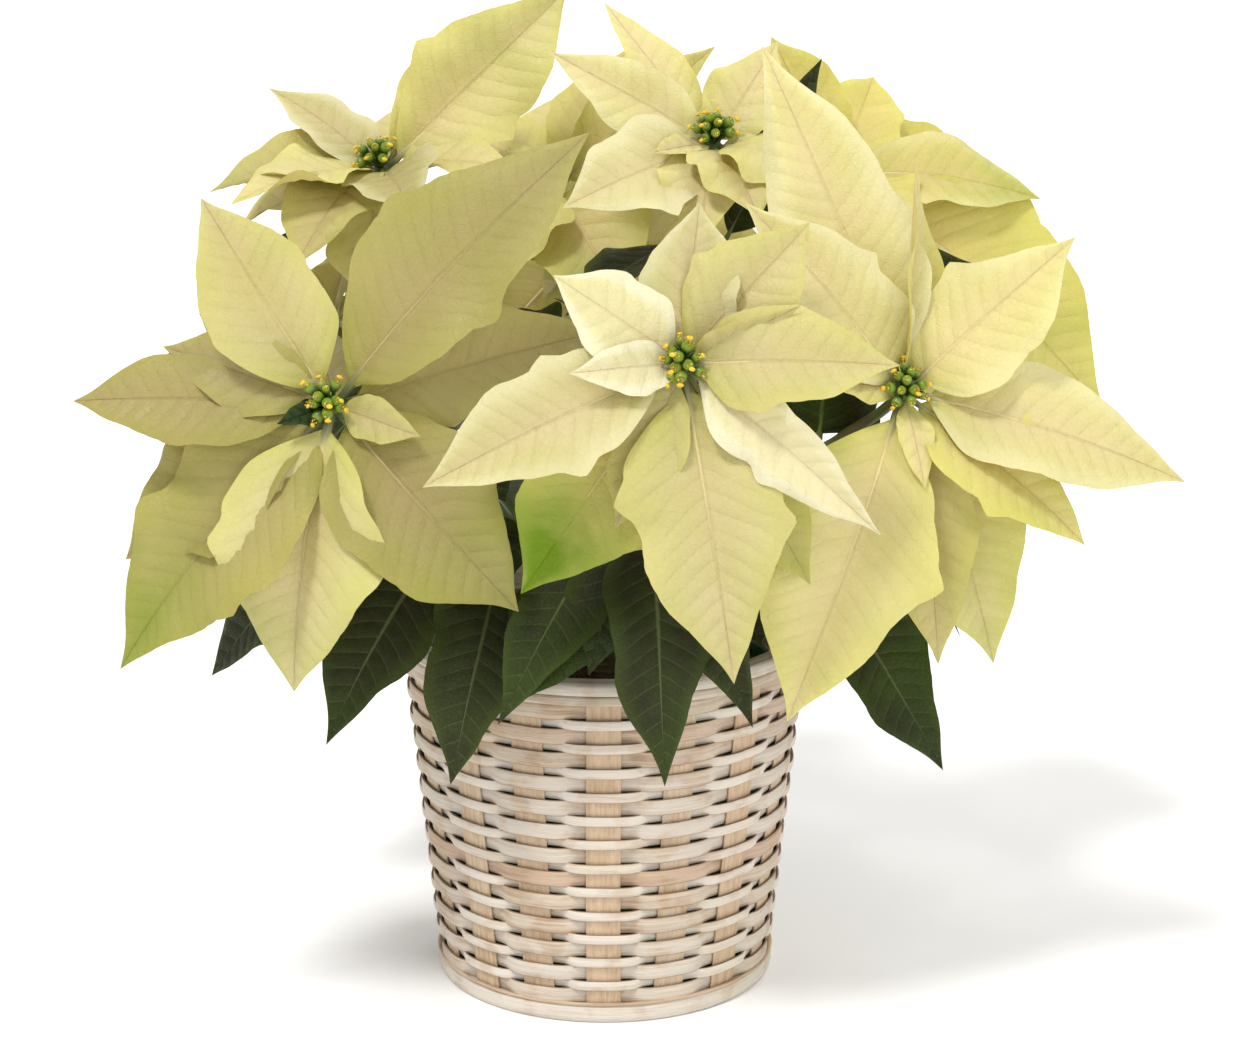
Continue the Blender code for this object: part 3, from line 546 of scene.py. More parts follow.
# %% [markdown]
# ## Curves to hang things on
#
# Stems and midribs are smooth curves with four handles, which give a soft arch from few numbers. The outline
# of a blade is a smooth curve through a handful of widths. A sheet of paper bent along the first and
# cut to the second is already a leaf.

# %% Helpers for curves
def unit(vector):
    """A vector's direction, at length one."""
    vector = np.asarray(vector, float)
    return vector / np.linalg.norm(vector, axis=-1, keepdims=True)


def arch(handles, share):
    """Points on the curve with these four handles."""
    a, b, c, d = handles
    t = np.asarray(share, float)[..., None]
    return a * (1 - t) ** 3 + 3 * b * t * (1 - t) ** 2 + 3 * c * t * t * (1 - t) + d * t ** 3


def eased(knots, share):
    """A smooth curve through (place, value) knots, read at share."""
    places, values = (np.array(column, float) for column in zip(*knots))
    slopes = np.gradient(values, places)
    i = np.clip(np.searchsorted(places, share, side="right") - 1, 0, len(places) - 2)
    step = places[i + 1] - places[i]
    t = np.clip((share - places[i]) / step, 0.0, 1.0)
    start = values[i] * (1 + 2 * t) * (1 - t) ** 2 + slopes[i] * step * t * (1 - t) ** 2
    return start + values[i + 1] * t * t * (3 - 2 * t) - slopes[i + 1] * step * t * t * (1 - t)


def hub_of(key):
    """A head's hub and the way it faces."""
    hub, facing = HEADS[key]
    return np.array(hub, float) * MM, unit(facing)


def stem_handles(key):
    """The four handles of a stem, from beside the trunk to just under the hub."""
    hub, facing = hub_of(key)
    slot = STEM_ORDER.index(key)
    turn = math.tau * slot / len(STEM_ORDER)
    away = np.array((math.cos(turn), math.sin(turn), 0.0))
    start = away * (TRUNK_RADIUS + GAP + STEM_RADIUS + 0.0004)
    start[2] = TRUNK_TOP - 0.01 - 0.024 * (slot % 2)
    finish = hub - facing * (HUB_HALF + 3 * GAP)
    reach = np.linalg.norm(finish - start)
    rise = np.array((0, 0, 0.3 * reach))
    return start, start + rise + away * reach * 0.1, finish - facing * reach * 0.3, finish


def stem_point(key, place):
    """The point at this place on a stem, on the same nine straight pieces as the solid stem."""
    line = arch(stem_handles(key), np.linspace(0, 1, 9))
    at = place * 8
    low = min(int(at), 7)
    return line[low] + (line[low + 1] - line[low]) * (at - low)


reaches = {key: np.linalg.norm(stem_handles(key)[3] - stem_handles(key)[0]) for key in HEADS}
print("longest stem reach, mm:", round(max(reaches.values()) / MM))

# %% [markdown]
# ## Bending a flat grid
#
# Every thin or tubular piece here starts as a flat grid from *create_grid*. Each corner is then moved to
# its place: bent along an arch it becomes a leaf, rolled up it becomes a stalk. Where two edges meet they
# are merged, so the piece closes. Each corner also carries a few numbers for its material.

# %% Helpers for bent grids
MARKS = ("tint", "green", "ribs", "reach", "ripe", "edge", "bare")
WELD = 2e-6


def faces_of(verts):
    return {face for vert in verts for face in vert.link_faces}


class Piece:
    """One bmesh that takes bent grids and then becomes an object."""

    def __init__(self, name):
        self.name = name
        self.shape = bmesh.new()
        self.uv = self.shape.loops.layers.uv.new("blade")
        self.marks = {mark: self.shape.verts.layers.float.new(mark) for mark in MARKS}
        self.finish_now = 0

    def mark(self, verts, faces, marks):
        for mark, value in marks.items():
            layer = self.marks[mark]
            values = np.broadcast_to(value, len(verts))
            for vert, number in zip(verts, values):
                vert[layer] = float(number)
        for face in faces:
            face.smooth = True
            face.material_index = self.finish_now

    def grid(self, columns, rows, place, marks, uv_shift=0.0, merge=True):
        """A grid of columns by rows, moved by place(across, along). A mark may be read along it."""
        made = bmesh.ops.create_grid(self.shape, x_segments=columns, y_segments=rows, size=1.0)["verts"]
        flat = np.array([vert.co[:2] for vert in made])
        across, along = flat[:, 0], (flat[:, 1] + 1) / 2
        points = place(across, along)
        faces = faces_of(made)
        where = {vert: (a, b) for vert, a, b in zip(made, across, along)}
        for face in faces:
            for loop in face.loops:
                a, b = where[loop.vert]
                loop[self.uv].uv = ((a + 1) / 2 + uv_shift, b)
        for vert, point in zip(made, points):
            vert.co = point
        given = {mark: value(along) if callable(value) else value for mark, value in marks.items()}
        self.mark(made, faces, given)
        if merge:
            bmesh.ops.remove_doubles(self.shape, verts=made, dist=WELD)
        return made

    def object(self, finishes, sharp=50):
        """The finished object at the origin, with its faces turned outwards."""
        bmesh.ops.dissolve_degenerate(self.shape, dist=1e-7, edges=self.shape.edges)
        bmesh.ops.recalc_face_normals(self.shape, faces=self.shape.faces)
        made = solidify(self.shape, self.name, finishes)
        made.data.set_sharp_from_angle(angle=math.radians(sharp))
        return made


def add_tube(piece, line, radii, sides, marks):
    """A round tube along a line of points, closed at both ends."""
    line = np.asarray(line, float)
    ways = unit(np.gradient(line, axis=0))
    side = unit(np.cross(ways[0], (0.31, 0.87, 0.12)))
    sides_along = []
    for way in ways:
        side = unit(side - way * np.dot(side, way))
        sides_along.append(side)
    side = np.array(sides_along)
    other = np.cross(ways, side)
    line = np.vstack((line[:1], line, line[-1:]))
    side, other = (np.vstack((rows[:1], rows, rows[-1:])) for rows in (side, other))
    radii = np.concatenate(([0.0], radii, [0.0]))
    last = len(line) - 1

    def rolled(across, along):
        i = np.rint(along * last).astype(int)
        turn = np.pi * across
        ring = np.cos(turn)[:, None] * side[i] + np.sin(turn)[:, None] * other[i]
        return line[i] + radii[i][:, None] * ring

    piece.grid(sides, last, rolled, marks)


print("bent grids ready")

# %% [markdown]
# ## One blade
#
# A bract or leaf is a thin lens: two bent grids that meet at the margin. Its outline is narrow at the
# stalk, widest a third of the way up and drawn out to a point. It folds up along the midrib, one margin
# waves up where the other waves down, and a few blades have a sharp corner or a rolled lip on one side.
# Between the side veins the blade is puffed, by a third of a millimetre. On the underside the
# stalk runs on as a raised midrib. A folded and rippled blade catches the light as a flat one never does.

# %% Helpers for blades
OUTLINE = (
    (0.00, 0.03), (0.05, 0.33), (0.12, 0.64), (0.23, 0.91), (0.37, 1.01), (0.54, 0.93),
    (0.7, 0.68), (0.84, 0.35), (0.93, 0.13), (1.00, 0.00),
)
BRACT_HABIT = {
    "stalk": 0.07, "fold": 0.32, "wave": 0.09, "jag": 0.06, "ripple": 0.095, "thick": 0.6,
    "quilt": 0.95, "slant": 0.75, "spacing": 0.0088, "columns": 16,
}
LEAF_HABIT = {
    "stalk": 0.26, "fold": 0.18, "wave": 0.11, "jag": 0.13, "ripple": 0.06, "thick": 0.7,
    "quilt": 0.75, "slant": 0.8, "spacing": 0.0098, "columns": 14,
}


def blade_spine(handles, facing, roll, share):
    """Midrib points of a blade with its width direction and its upward normal at each."""
    base, tip = handles[0], handles[3]
    ahead = unit(tip - base)
    above = unit(facing - ahead * np.dot(facing, ahead))
    centre = arch(handles, share)
    way = unit(arch(handles, np.minimum(share + 0.01, 1.0)) - arch(handles, np.maximum(share - 0.01, 0.0)))
    across = unit(np.cross(np.broadcast_to(above, way.shape), way))
    normal = np.cross(way, across)
    turn = np.radians(np.asarray(roll) * np.ones_like(share))[:, None]
    side = np.cos(turn) * across + np.sin(turn) * normal
    return centre, side, np.cos(turn) * normal - np.sin(turn) * across


def add_blade(piece, base, tip, facing, bend, habit, chance, turned, look=None, own=None):
    """One leaf or bract with its stalk. bend is width, lift, crook and roll; turned is the wave's side.

    look holds marks for its finish, and own a curl for each margin, a fold and a twist."""
    width, lift, crook, roll = bend
    chord = tip - base
    length = np.linalg.norm(chord)
    above = unit(facing - chord * np.dot(facing, chord) / length ** 2)
    raised, crooked = above * lift * length, above * crook * length
    handles = (base, base + chord / 3 + raised, base + chord * 2 / 3 + crooked, tip)
    stalk = habit["stalk"]
    broad = width > 0.03
    phases = chance.uniform(0, math.tau, 4)
    frills = chance.uniform(1.8, 3.4, 2)
    corner = chance.uniform(0.3, 0.55, 2)
    corner_size = chance.choice((0.0, 0.0, 0.12, 0.2), 2) * (1.0 if broad else 0.4)
    lip = chance.choice((0.0, 0.3, -0.4, -0.8, 1.0), 2) * (1.0 if broad else 0.5)
    fold = habit["fold"] * chance.uniform(0.65, 1.45)
    slim = chance.uniform(-0.06, 0.06)
    lip_at = chance.uniform(0.35, 0.75, 2)
    twist = chance.uniform(-16, 16) * (1.0 if broad else 1.6)
    belly = chance.uniform(0.9, 1.12)
    waver = chance.uniform(0.6, 1.4)
    if own:
        lip, fold, twist = np.array(own[:2]), own[2], own[3]
    ribs = max(5.0, length / habit["spacing"])
    marks = {"tint": chance.uniform(), "green": 0.0, "ribs": ribs,
             "reach": lambda along: eased(OUTLINE, along ** belly) * width / 2 / length, **(look or {})}

    def spine(share):
        return blade_spine(handles, facing, roll + twist * (share - 0.35), share)

    def bent(across, along, level):
        centre, side, normal = spine(stalk + (1 - stalk) * along)
        swing = np.cos(np.pi * (along - 0.17) / 0.27)
        hand, away = np.sign(across), np.abs(across)
        half = eased(OUTLINE, along ** belly) * width / 2
        rib = (along - habit["slant"] * away ** RIB_SWEEP * half / length) * ribs + RIB_STAGGER * (across > 0)
        puff = 1 - (np.abs(rib - np.floor(rib) - 0.5) * 2) ** QUILT_EDGE
        tooth, spot, curl, curl_at, frill, start = (
            np.where(across < 0, *pair)
            for pair in (corner_size, corner, lip, lip_at, frills, phases[2:])
        )
        edge = 1 - habit["jag"] * swing * hand + tooth * np.clip(1 - np.abs(along - spot) / 0.07, 0, 1)
        edge += 0.024 * np.sin(19 * along + phases[0] * hand) + 0.016 * np.sin(37 * along + phases[1])
        edge += 0.014 * puff + slim * hand
        reach = np.maximum(half * edge, 0.0005 * (1 - along))
        cup = fold * half * (away ** 1.1 - 0.25 * away ** 3)
        wave = -turned * habit["wave"] * swing * half * across * away ** 0.5
        fade = np.sin(np.pi * along)
        ripple = habit["ripple"] * waver * half * across ** 2 * fade
        ripple *= np.sin(math.tau * frill * along + start)
        rolled = curl * half * np.clip(away - 0.55, 0, 1) ** 1.6 * np.exp(-((along - curl_at) / 0.2) ** 2)
        quilt = habit["quilt"] * MM * (puff - 0.5) * (1 - away ** 8)
        quilt *= np.minimum(away * 5, 1) * np.abs(fade) ** 0.5
        body = habit["thick"] * MM / 2 * (1 - across ** 4) * np.sqrt(np.clip(1 - along ** 8, 0, 1))
        rise = cup + wave + ripple + rolled + quilt + level * body * np.minimum(along * 30, 1)
        return centre + side * (across * reach)[:, None] + normal * rise[:, None]

    columns = habit["columns"] - (0 if broad else 4)
    rows = int(np.clip(3.7 * ribs, 22, 66))
    top = piece.grid(columns, rows, lambda a, b: bent(a, b, 1.0), marks, merge=False)
    low = piece.grid(columns, rows, lambda a, b: bent(a, b, -1.0), marks, uv_shift=2.0, merge=False)
    bmesh.ops.remove_doubles(piece.shape, verts=top + low, dist=WELD)
    share = np.linspace(0.0, 0.93, 22)
    centre, side, normal = spine(share)
    thick = 0.0012 * width / 0.05 + 0.0004
    run = np.clip((share - stalk) / (1 - stalk), 0, 1)
    radii = thick * (1 - 0.86 * run ** 0.7)
    sunk = centre - normal * (radii * 0.55 * np.minimum(run * 12, 1))[:, None]
    piece.finish_now = 1
    stalk_marks = {"tint": marks["tint"], "green": marks["green"], "ripe": lambda place: place}
    add_tube(piece, sunk, radii, 7, stalk_marks)
    piece.finish_now = 0
    return handles


print("blade outline, widest at", max(OUTLINE, key=lambda knot: knot[1])[0], "of its length")

# %% [markdown]
# ## The bracts' finish
#
# A cream bract isn't one colour. Older ones are a dull olive beige, so each carries how dull it is; the
# same number also carries painted shade, which makes the front_left head duller, and painted light, which
# makes a few shaded bracts fresher. Its middle is a pinkish beige and its margins a clear pale yellow, the
# side veins are a little darker, and what green is left sits near the tip. Some margins are painted near
# white as a painted highlight where a lit fold catches the light, and the right_back head is painted
# yellower as a painted glow of light shining through it. It is thin enough for light to pass, so a
# Translucent BSDF is mixed with the Principled one: a bract lit from behind then glows yellow. The finest
# net of veins is a bump, at half a millimetre.

# %% Make the bract finishes
def rib_effect(finish, slant, line):
    """The rib pattern with the piece's own number of ribs."""
    given = {"Count": finish.mark("ribs"), "Reach": finish.mark("reach"), "Slant": slant, "Line": line}
    return finish.effect(rib_pattern, **given)


def vein_net(finish, scale):
    """The fine net of veins between the ribs: flat cells with a groove round each."""
    given = {"Vector": object_place(finish.tree), "Scale": scale}
    cells = put(finish.tree, "ShaderNodeTexVoronoi", given, feature="DISTANCE_TO_EDGE")
    return Wire(cells, "Distance").span(0.0, 0.1)


cream = Finish("cream_bract", 0.5, (0.78, 0.71, 0.36))
ribs = rib_effect(cream, 0.75, 0.72)
large, small = cream.patches(26.0), cream.patches(150.0)
tint, green, pale = cream.mark("tint"), cream.mark("green"), cream.mark("edge")
# The tint is the bract's dullness: older olive beige, and also painted shade on the front_left head and
# painted light on a few shaded bracts
cream.paint(tint, (0.45, 0.386, 0.155), (0.85, 0.775, 0.43))
cream.wash(ribs["Margin"].span(0.4, 1.0, 0.0, 0.8), (1.0, 1.03, 0.8))
cream.wash(ribs["Margin"].span(0.62, 0.0, 0.0, 0.8), (1.01, 0.95, 1.05))
cream.wash(large * 0.65, (0.88, 0.92, 0.66))
cream.wash(small * 0.25, (1.1, 1.1, 1.15))
cream.wash(ribs["Along"].span(0.3, 0.0, 0.0, 0.7), (0.82, 0.88, 0.55))
# Yellower by the ripe share: the bract's own yellow, and on the right_back head a painted glow of light
# shining through it
cream.wash(cream.mark("ripe"), (0.97, 0.96, 0.56))
# Painted highlight: a near-white margin, and on the highest shares a whitened blade, where a lit fold catches
# the light
painted_highlight = (pale * ribs["Margin"].span(0.45, 0.95)).math("ADD", pale ** 2.0 * 0.55, clamp=True)
cream.paint(painted_highlight, (0.93, 0.9, 0.69))
cream.wash(ribs["Veins"] * 0.3, (0.88, 0.9, 0.72))
cream.wash(ribs["Midrib"] * 0.45, (0.9, 0.88, 0.72))
cream.wash(ribs["Underside"] * 0.8, (1.08, 1.08, 1.16))
tip_green = ribs["Along"].span(0.28, 0.85) * ribs["Margin"].span(0.0, 1.0, 1.0, 0.65)
tip_green = tip_green * green + green.math("SUBTRACT", 1.0, clamp=True)
cream.paint(tip_green.math("MULTIPLY", large.span(0.0, 1.0, 0.6, 1.3), clamp=True), (0.19, 0.345, 0.006))
cream.paint(green.span(1.2, 2.0), (0.03, 0.055, 0.012))
cream.feed("Roughness", small.span(0.0, 1.0, 0.44, 0.6))
cream.shader.inputs["Specular IOR Level"].default_value = 0.3
relief = ribs["Quilt"] * 0.7 + small * 0.25 + vein_net(cream, 330.0) * 0.22 - ribs["Midrib"] * 0.6
normal = cream.bump(relief, 0.8, 0.0005)
through = cream.mix(tint, (0.85, 0.78, 0.315), (0.64, 0.58, 0.18))
through = cream.mix(green.span(0.6, 2.0), through, (0.16, 0.26, 0.02))
glow = Wire(put(cream.tree, "ShaderNodeBsdfTranslucent", {"Color": through, "Normal": normal}))
mixed = put(cream.tree, "ShaderNodeMixShader", {0: 0.36, 1: Wire(cream.shader), 2: glow})
cream.tree.links.new(mixed.outputs[0], cream.tree.nodes["Material Output"].inputs["Surface"])

bract_stalk = Finish("bract_stalk", 0.45, (0.55, 0.5, 0.24))
bract_stalk.paint(bract_stalk.mark("tint"), (0.4, 0.32, 0.15), (0.74, 0.64, 0.34))
bract_stalk.paint(bract_stalk.mark("ripe").span(0.06, 0.22), bract_stalk.skin, (0.075, 0.115, 0.022))
bract_stalk.wash(bract_stalk.patches(120.0) * 0.5, (0.84, 0.74, 0.66))
bract_stalk.paint(bract_stalk.mark("green").span(1.2, 2.0), (0.05, 0.09, 0.02))
print("finishes:", cream.material.name, bract_stalk.material.name)

# %% [markdown]
# ## The leaves' and stems' finish
#
# The old leaves are a deep, almost black green with a soft shine, netted with paler veins, and dull grey
# green underneath. The stems are the same green, ringed, with a red flush.

# %% Make the leaf and stem finishes
leaf = Finish("dark_leaf", 0.46, (0.03, 0.048, 0.01))
ribs = rib_effect(leaf, 0.8, 0.84)
large, small = leaf.patches(24.0), leaf.patches(210.0, 4.0)
leaf.paint(large, (0.029, 0.052, 0.004), (0.016, 0.018, 0.005))
leaf.paint(leaf.mark("tint") * 0.6, (0.026, 0.026, 0.01))
leaf.paint(ribs["Margin"].span(0.55, 1.0, 0.0, 0.3), (0.07, 0.11, 0.012))
leaf.paint(small * 0.22, (0.05, 0.062, 0.014))
leaf.paint(ribs["Veins"] * 0.3, (0.1, 0.125, 0.04))
leaf.paint(ribs["Midrib"] * 0.6, (0.14, 0.165, 0.065))
leaf.paint(ribs["Underside"] * 0.7, (0.085, 0.115, 0.05))
leaf.feed("Roughness", small.span(0.0, 1.0, 0.46, 0.62))
leaf.shader.inputs["Specular IOR Level"].default_value = 0.18
leaf.bump(ribs["Quilt"] + vein_net(leaf, 420.0) * 0.35 - ribs["Midrib"] * 0.9, 0.9, 0.0005)

green_stem = Finish("green_stem", 0.48, (0.09, 0.13, 0.03))
rings = green_stem.effect(long_grain, Stretch=(25, 25, 420))["Streaks"]
green_stem.paint(green_stem.patches(70.0), (0.15, 0.19, 0.05), (0.085, 0.135, 0.03))
green_stem.paint(green_stem.patches(18.0).span(0.55, 1.0, 0.0, 0.4), (0.15, 0.045, 0.03))
green_stem.paint(rings * 0.2, (0.06, 0.08, 0.025))
green_stem.bump(rings, 0.4, 0.0003)
print("finishes:", leaf.material.name, green_stem.material.name)

# %% [markdown]
# ## The flower heads
#
# Each whorl is one piece on its own small hub, with the bracts seated round it at slightly different
# heights, as they grow in a tight spiral. A seeded draw gives each its own ripple, corner and tint, so a
# second run gives the same plant.

# %% Grow the bract whorls
def grow_whorl(key, seed):
    """All the bracts of one head, with the hub that they sit on."""
    hub, facing = hub_of(key)
    chance = np.random.default_rng(seed)
    piece = Piece(f"bract_whorl_{key}")
    for i, (right, front, up, width, lift, crook, roll, *look) in enumerate(BRACTS[key]):
        way = np.array((right, -front, up), float) * MM
        base = hub + facing * HUB_HALF * (0.6 * (i % 4) / 3 - 0.3) + unit(way) * HUB_RADIUS * 0.3
        face = unit(look[0]) if look else facing
        bend = (width * MM, lift, crook, roll)
        # Dullness, partly the bract's age and partly painted shade and light, with a small random spread
        dull_and_shade = set_apart(DULLNESS_AND_PAINTED_SHADE, key, i) + chance.uniform(-0.1, 0.14)
        # The yellow share is partly a painted glow of light shining through the bracts
        green, ripe, edge = (set_apart(table, key, i) for table in (GREENING, YELLOW_AND_PAINTED_GLOW, PAINTED_HIGHLIGHT))
        # edge carries the share of painted highlight
        look = {"tint": min(max(dull_and_shade, 0.0), 1.0), "green": green, "ripe": ripe, "edge": edge}
        side = 1.0 if i % 2 == 0 else -1.0
        own = set_apart(HAND_BENT, key, i, None)
        add_blade(piece, base, hub + way, face, bend, BRACT_HABIT, chance, side, look, own)
    piece.finish_now = 1
    swell = np.array((0.55, 0.95, 1.0, 0.95, 0.6)) * HUB_RADIUS
    steps = np.linspace(-HUB_HALF, HUB_HALF, 5)
    add_tube(piece, hub + facing * steps[:, None], swell, 12, {"ripe": 0.0})
    whorl = piece.object([cream, bract_stalk])
    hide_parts(f"bracts_{key}")
    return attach(whorl, "root")


whorls = [grow_whorl(key, 100 + i) for i, key in enumerate(HEADS)]
print("whorl faces:", [len(whorl.data.polygons) for whorl in whorls])

# %% [markdown]
# ## The leafy stems
#
# A stem swells a little at each node, where a leaf's stalk leaves it. Each stem and its leaves are one
# piece, as they grew.

# %% Grow the leafy stems
def grow_stem(key, seed):
    """One green stem with its leaves."""
    chance = np.random.default_rng(seed)
    piece = Piece(f"leafy_stem_{key}")
    for i, (x, y, z, place, width, lift, roll, *look) in enumerate(LEAVES[key]):
        base = stem_point(key, place)
        tip = np.array((x, y, z), float) * MM
        facing = unit(look[0]) if look else unit(unit((tip - base) * (1, 1, 0)) * 0.35 + (0, 0, 1))
        bend = (width * MM, lift, lift * 0.8, roll)
        add_blade(piece, base, tip, facing, bend, LEAF_HABIT, chance, -1.0 if i % 2 else 1.0)
    share = np.linspace(0, 1, 41)
    knuckles = sum(np.exp(-((share - row[3]) / 0.018) ** 2) for row in LEAVES[key])
    radii = STEM_RADIUS + (NECK_RADIUS - STEM_RADIUS) * share + 0.0005 * knuckles
    piece.finish_now = 1
    line = np.array([stem_point(key, at) for at in share])
    line[1:-1] = (line[:-2] + 2 * line[1:-1] + line[2:]) / 4
    add_tube(piece, line, radii, 12, {"tint": 0.5})
    stem = piece.object([leaf, green_stem])
    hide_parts(f"stem_{key}")
    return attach(stem, "root")


stems = [grow_stem(key, 200 + i) for i, key in enumerate(HEADS)]
print("stem faces:", [len(stem.data.polygons) for stem in stems])

# %% [markdown]
# ## The beads in the middle
#
# The true flowers are the cyathia: green cups the size of a peppercorn on short stalks, each with a yellow
# lip of nectar on one side and a tuft of red and yellow stamens at its mouth. They are made from
# spheres whose points are pulled to a pear, pressed in at the mouth, and spread over a dome by the golden
# angle, which packs them evenly without rows.

# %% Make the cyathia finishes
cup_green = Finish("cup_green", 0.38, (0.2, 0.32, 0.03))
cup_green.paint(cup_green.mark("ripe").span(0.3, 1.0), (0.21, 0.31, 0.022), (0.026, 0.062, 0.008))
cup_green.paint(cup_green.patches(300.0) * 0.35, (0.14, 0.24, 0.02))
cup_green.paint(cup_green.mark("tint").span(0.6, 1.0, 0.0, 0.3), (0.42, 0.4, 0.05))

nectar = Finish("nectar_lip", 0.25, (0.83, 0.58, 0.03))
nectar.paint(nectar.patches(500.0), (0.72, 0.4, 0.02), (0.7, 0.56, 0.03))

stamen = Finish("stamen", 0.6, (0.7, 0.45, 0.04))
stamen.paint(stamen.mark("tint"), (0.48, 0.14, 0.02), (0.7, 0.62, 0.06))
print("finishes:", [finish.material.name for finish in (cup_green, nectar, stamen)])

# %% Set out the beads
def add_ball(piece, centre, up, size, marks, sides=12, rings=8, mouth=0.0):
    """A ball stretched to size (across, deep, high), its top pressed in by mouth, pointing up."""
    made = bmesh.ops.create_uvsphere(piece.shape, u_segments=sides, v_segments=rings, radius=1.0)["verts"]
    turn = Vector((0, 0, 1)).rotation_difference(Vector(up)).to_matrix()
    heights = []
    for vert in made:
        x, y, z = vert.co
        heights.append((z + 1) / 2)
        wide = 1.0 + 0.16 * z
        if mouth and z > 0.75:
            z = 0.75 - (z - 0.75) * mouth
        vert.co = Vector(centre) + turn @ Vector((x * size[0] * wide, y * size[1] * wide, z * size[2]))
    piece.mark(made, faces_of(made), {"ripe": np.array(heights), **marks})


BEAD_COUNT = 12
GOLDEN_ANGLE = 2.39996
DOME_LIFT, DOME_RADIUS = 0.0068, 0.0072


def set_beads(key, seed):
    """One head's cluster of cups on their stalks."""
    hub, facing = hub_of(key)
    chance = np.random.default_rng(seed)
    piece = Piece(f"flower_beads_{key}")
    side = unit(np.cross(facing, (0.2, 0.3, 0.9)))
    other = np.cross(facing, side)
    middle = hub + facing * DOME_LIFT
    for i in range(BEAD_COUNT):
        tilt = math.acos(1 - 0.8 * (i + 0.4) / BEAD_COUNT)
        turn = i * GOLDEN_ANGLE + chance.uniform(-0.2, 0.2)
        out = math.cos(turn) * side + math.sin(turn) * other
        way = unit(math.sin(tilt) * out + math.cos(tilt) * facing)
        size = chance.uniform(0.0018, 0.0025)
        centre = middle + way * (DOME_RADIUS + 0.0012 * chance.uniform(-1, 1)) + facing * 0.0005
        tone = chance.uniform()
        piece.finish_now = 0
        line = np.linspace(hub + facing * 0.003, centre, 4)
        add_tube(piece, line, np.full(4, 0.0009), 6, {"tint": 0.1, "ripe": 0.1})
        add_ball(piece, centre, way, (size, size, size * 1.3), {"tint": tone}, mouth=0.9)
        brim = centre + way * size * 1.05
        outward = unit(out + 0.3 * way)
        if chance.uniform() < 0.72:
            piece.finish_now = 1
            lobe = (size * 0.62, size * 0.42, size * 0.34)
            add_ball(piece, brim + outward * size * 0.85, way, lobe, {"tint": tone}, 10, 6)
        piece.finish_now = 2
        for k in range(5):
            swing = chance.uniform(0, math.tau)
            lean = math.cos(swing) * side + math.sin(swing) * other
            spot = brim + lean * size * 0.38 + way * size * chance.uniform(0.0, 0.3)
            add_ball(piece, spot, way, (0.00036, 0.00036, 0.0005), {"tint": chance.uniform()}, 6, 4)
    beads = piece.object([cup_green, nectar, stamen], sharp=70)
    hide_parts(f"cyathia_{key}")
    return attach(beads, "root")


bead_sets = [set_beads(key, 300 + i) for i, key in enumerate(HEADS)]
print("bead faces:", [len(beads.data.polygons) for beads in bead_sets])

# %% [markdown]
# ## The woody trunk and the soil
#
# The trunk is a pruned, corky peg with leaf scars round it. The potting mix is peat: a dished disc with
# lumps of bark and white perlite pressed into it. It could be one noisy disc, but separate crumbs catch
# the light and throw small shadows, which is what soil looks like close up.

# %% Make the bark and soil finishes
bark = Finish("corky_bark", 0.8, (0.2, 0.15, 0.07))
rings = bark.effect(long_grain, Stretch=(60, 60, 520))
bark.paint(rings["Streaks"], (0.27, 0.2, 0.1), (0.12, 0.085, 0.045))
bark.paint(bark.patches(60.0).span(0.5, 1.0, 0.0, 0.5), (0.12, 0.15, 0.045))
bark.bump(rings["Threads"], 0.8, 0.0005)

peat = Finish("peat", 0.95, (0.045, 0.03, 0.02))
peat.paint(peat.patches(420.0), (0.085, 0.055, 0.032), (0.02, 0.013, 0.009))
peat.paint(peat.mark("tint").span(0.4, 1.0), (0.15, 0.095, 0.05))
peat.bump(peat.patches(700.0), 0.9, 0.0008)

perlite = Finish("perlite", 0.9, (0.75, 0.73, 0.68))
perlite.paint(perlite.patches(600.0), (0.6, 0.56, 0.48), (0.78, 0.76, 0.71))
print("finishes:", [finish.material.name for finish in (bark, peat, perlite)])

# %% Shape the trunk
TRUNK_ROOT = 0.1
trunk_low, trunk_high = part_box("trunk")
piece = Piece("corky_trunk")
heights = np.linspace(TRUNK_ROOT, TRUNK_TOP, 34)
girth = TRUNK_RADIUS * (1 - 0.16 * np.clip((heights - 0.15) / 0.034, 0, 1))
girth *= 1 + 0.05 * np.sin(heights * 900) + 0.03 * np.sin(heights * 410)
girth[-2:] *= (0.86, 0.6)
add_tube(piece, np.column_stack((0 * heights, 0 * heights, heights)), np.minimum(girth, TRUNK_RADIUS), 20, {})
trunk = piece.object([bark])
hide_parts("trunk")
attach(trunk, "root")
print("trunk from", round(trunk_low.z, 3), "to", round(trunk_high.z, 3))

# %% Fill the pot with potting mix
PANEL_THICKNESS = 0.005
POT_TOP_RADIUS = 0.077
POT_FOOT_RADIUS = 0.062
POT_HEIGHT = 0.132
POT_WALL = 0.0014
SOIL_TOP = 0.136
SOIL_SHOULDER = 0.132
POT_LOW = PANEL_THICKNESS + GAP


def soil_reach(height):
    """The soil's radius at this height, just clear of the pot's sloping wall."""
    inner_foot = POT_FOOT_RADIUS - POT_WALL
    inner_top = POT_TOP_RADIUS - 2 * POT_WALL
    share = (height - POT_LOW - POT_WALL) / (POT_HEIGHT - POT_WALL)
    return inner_foot + (inner_top - inner_foot) * share - 2 * GAP


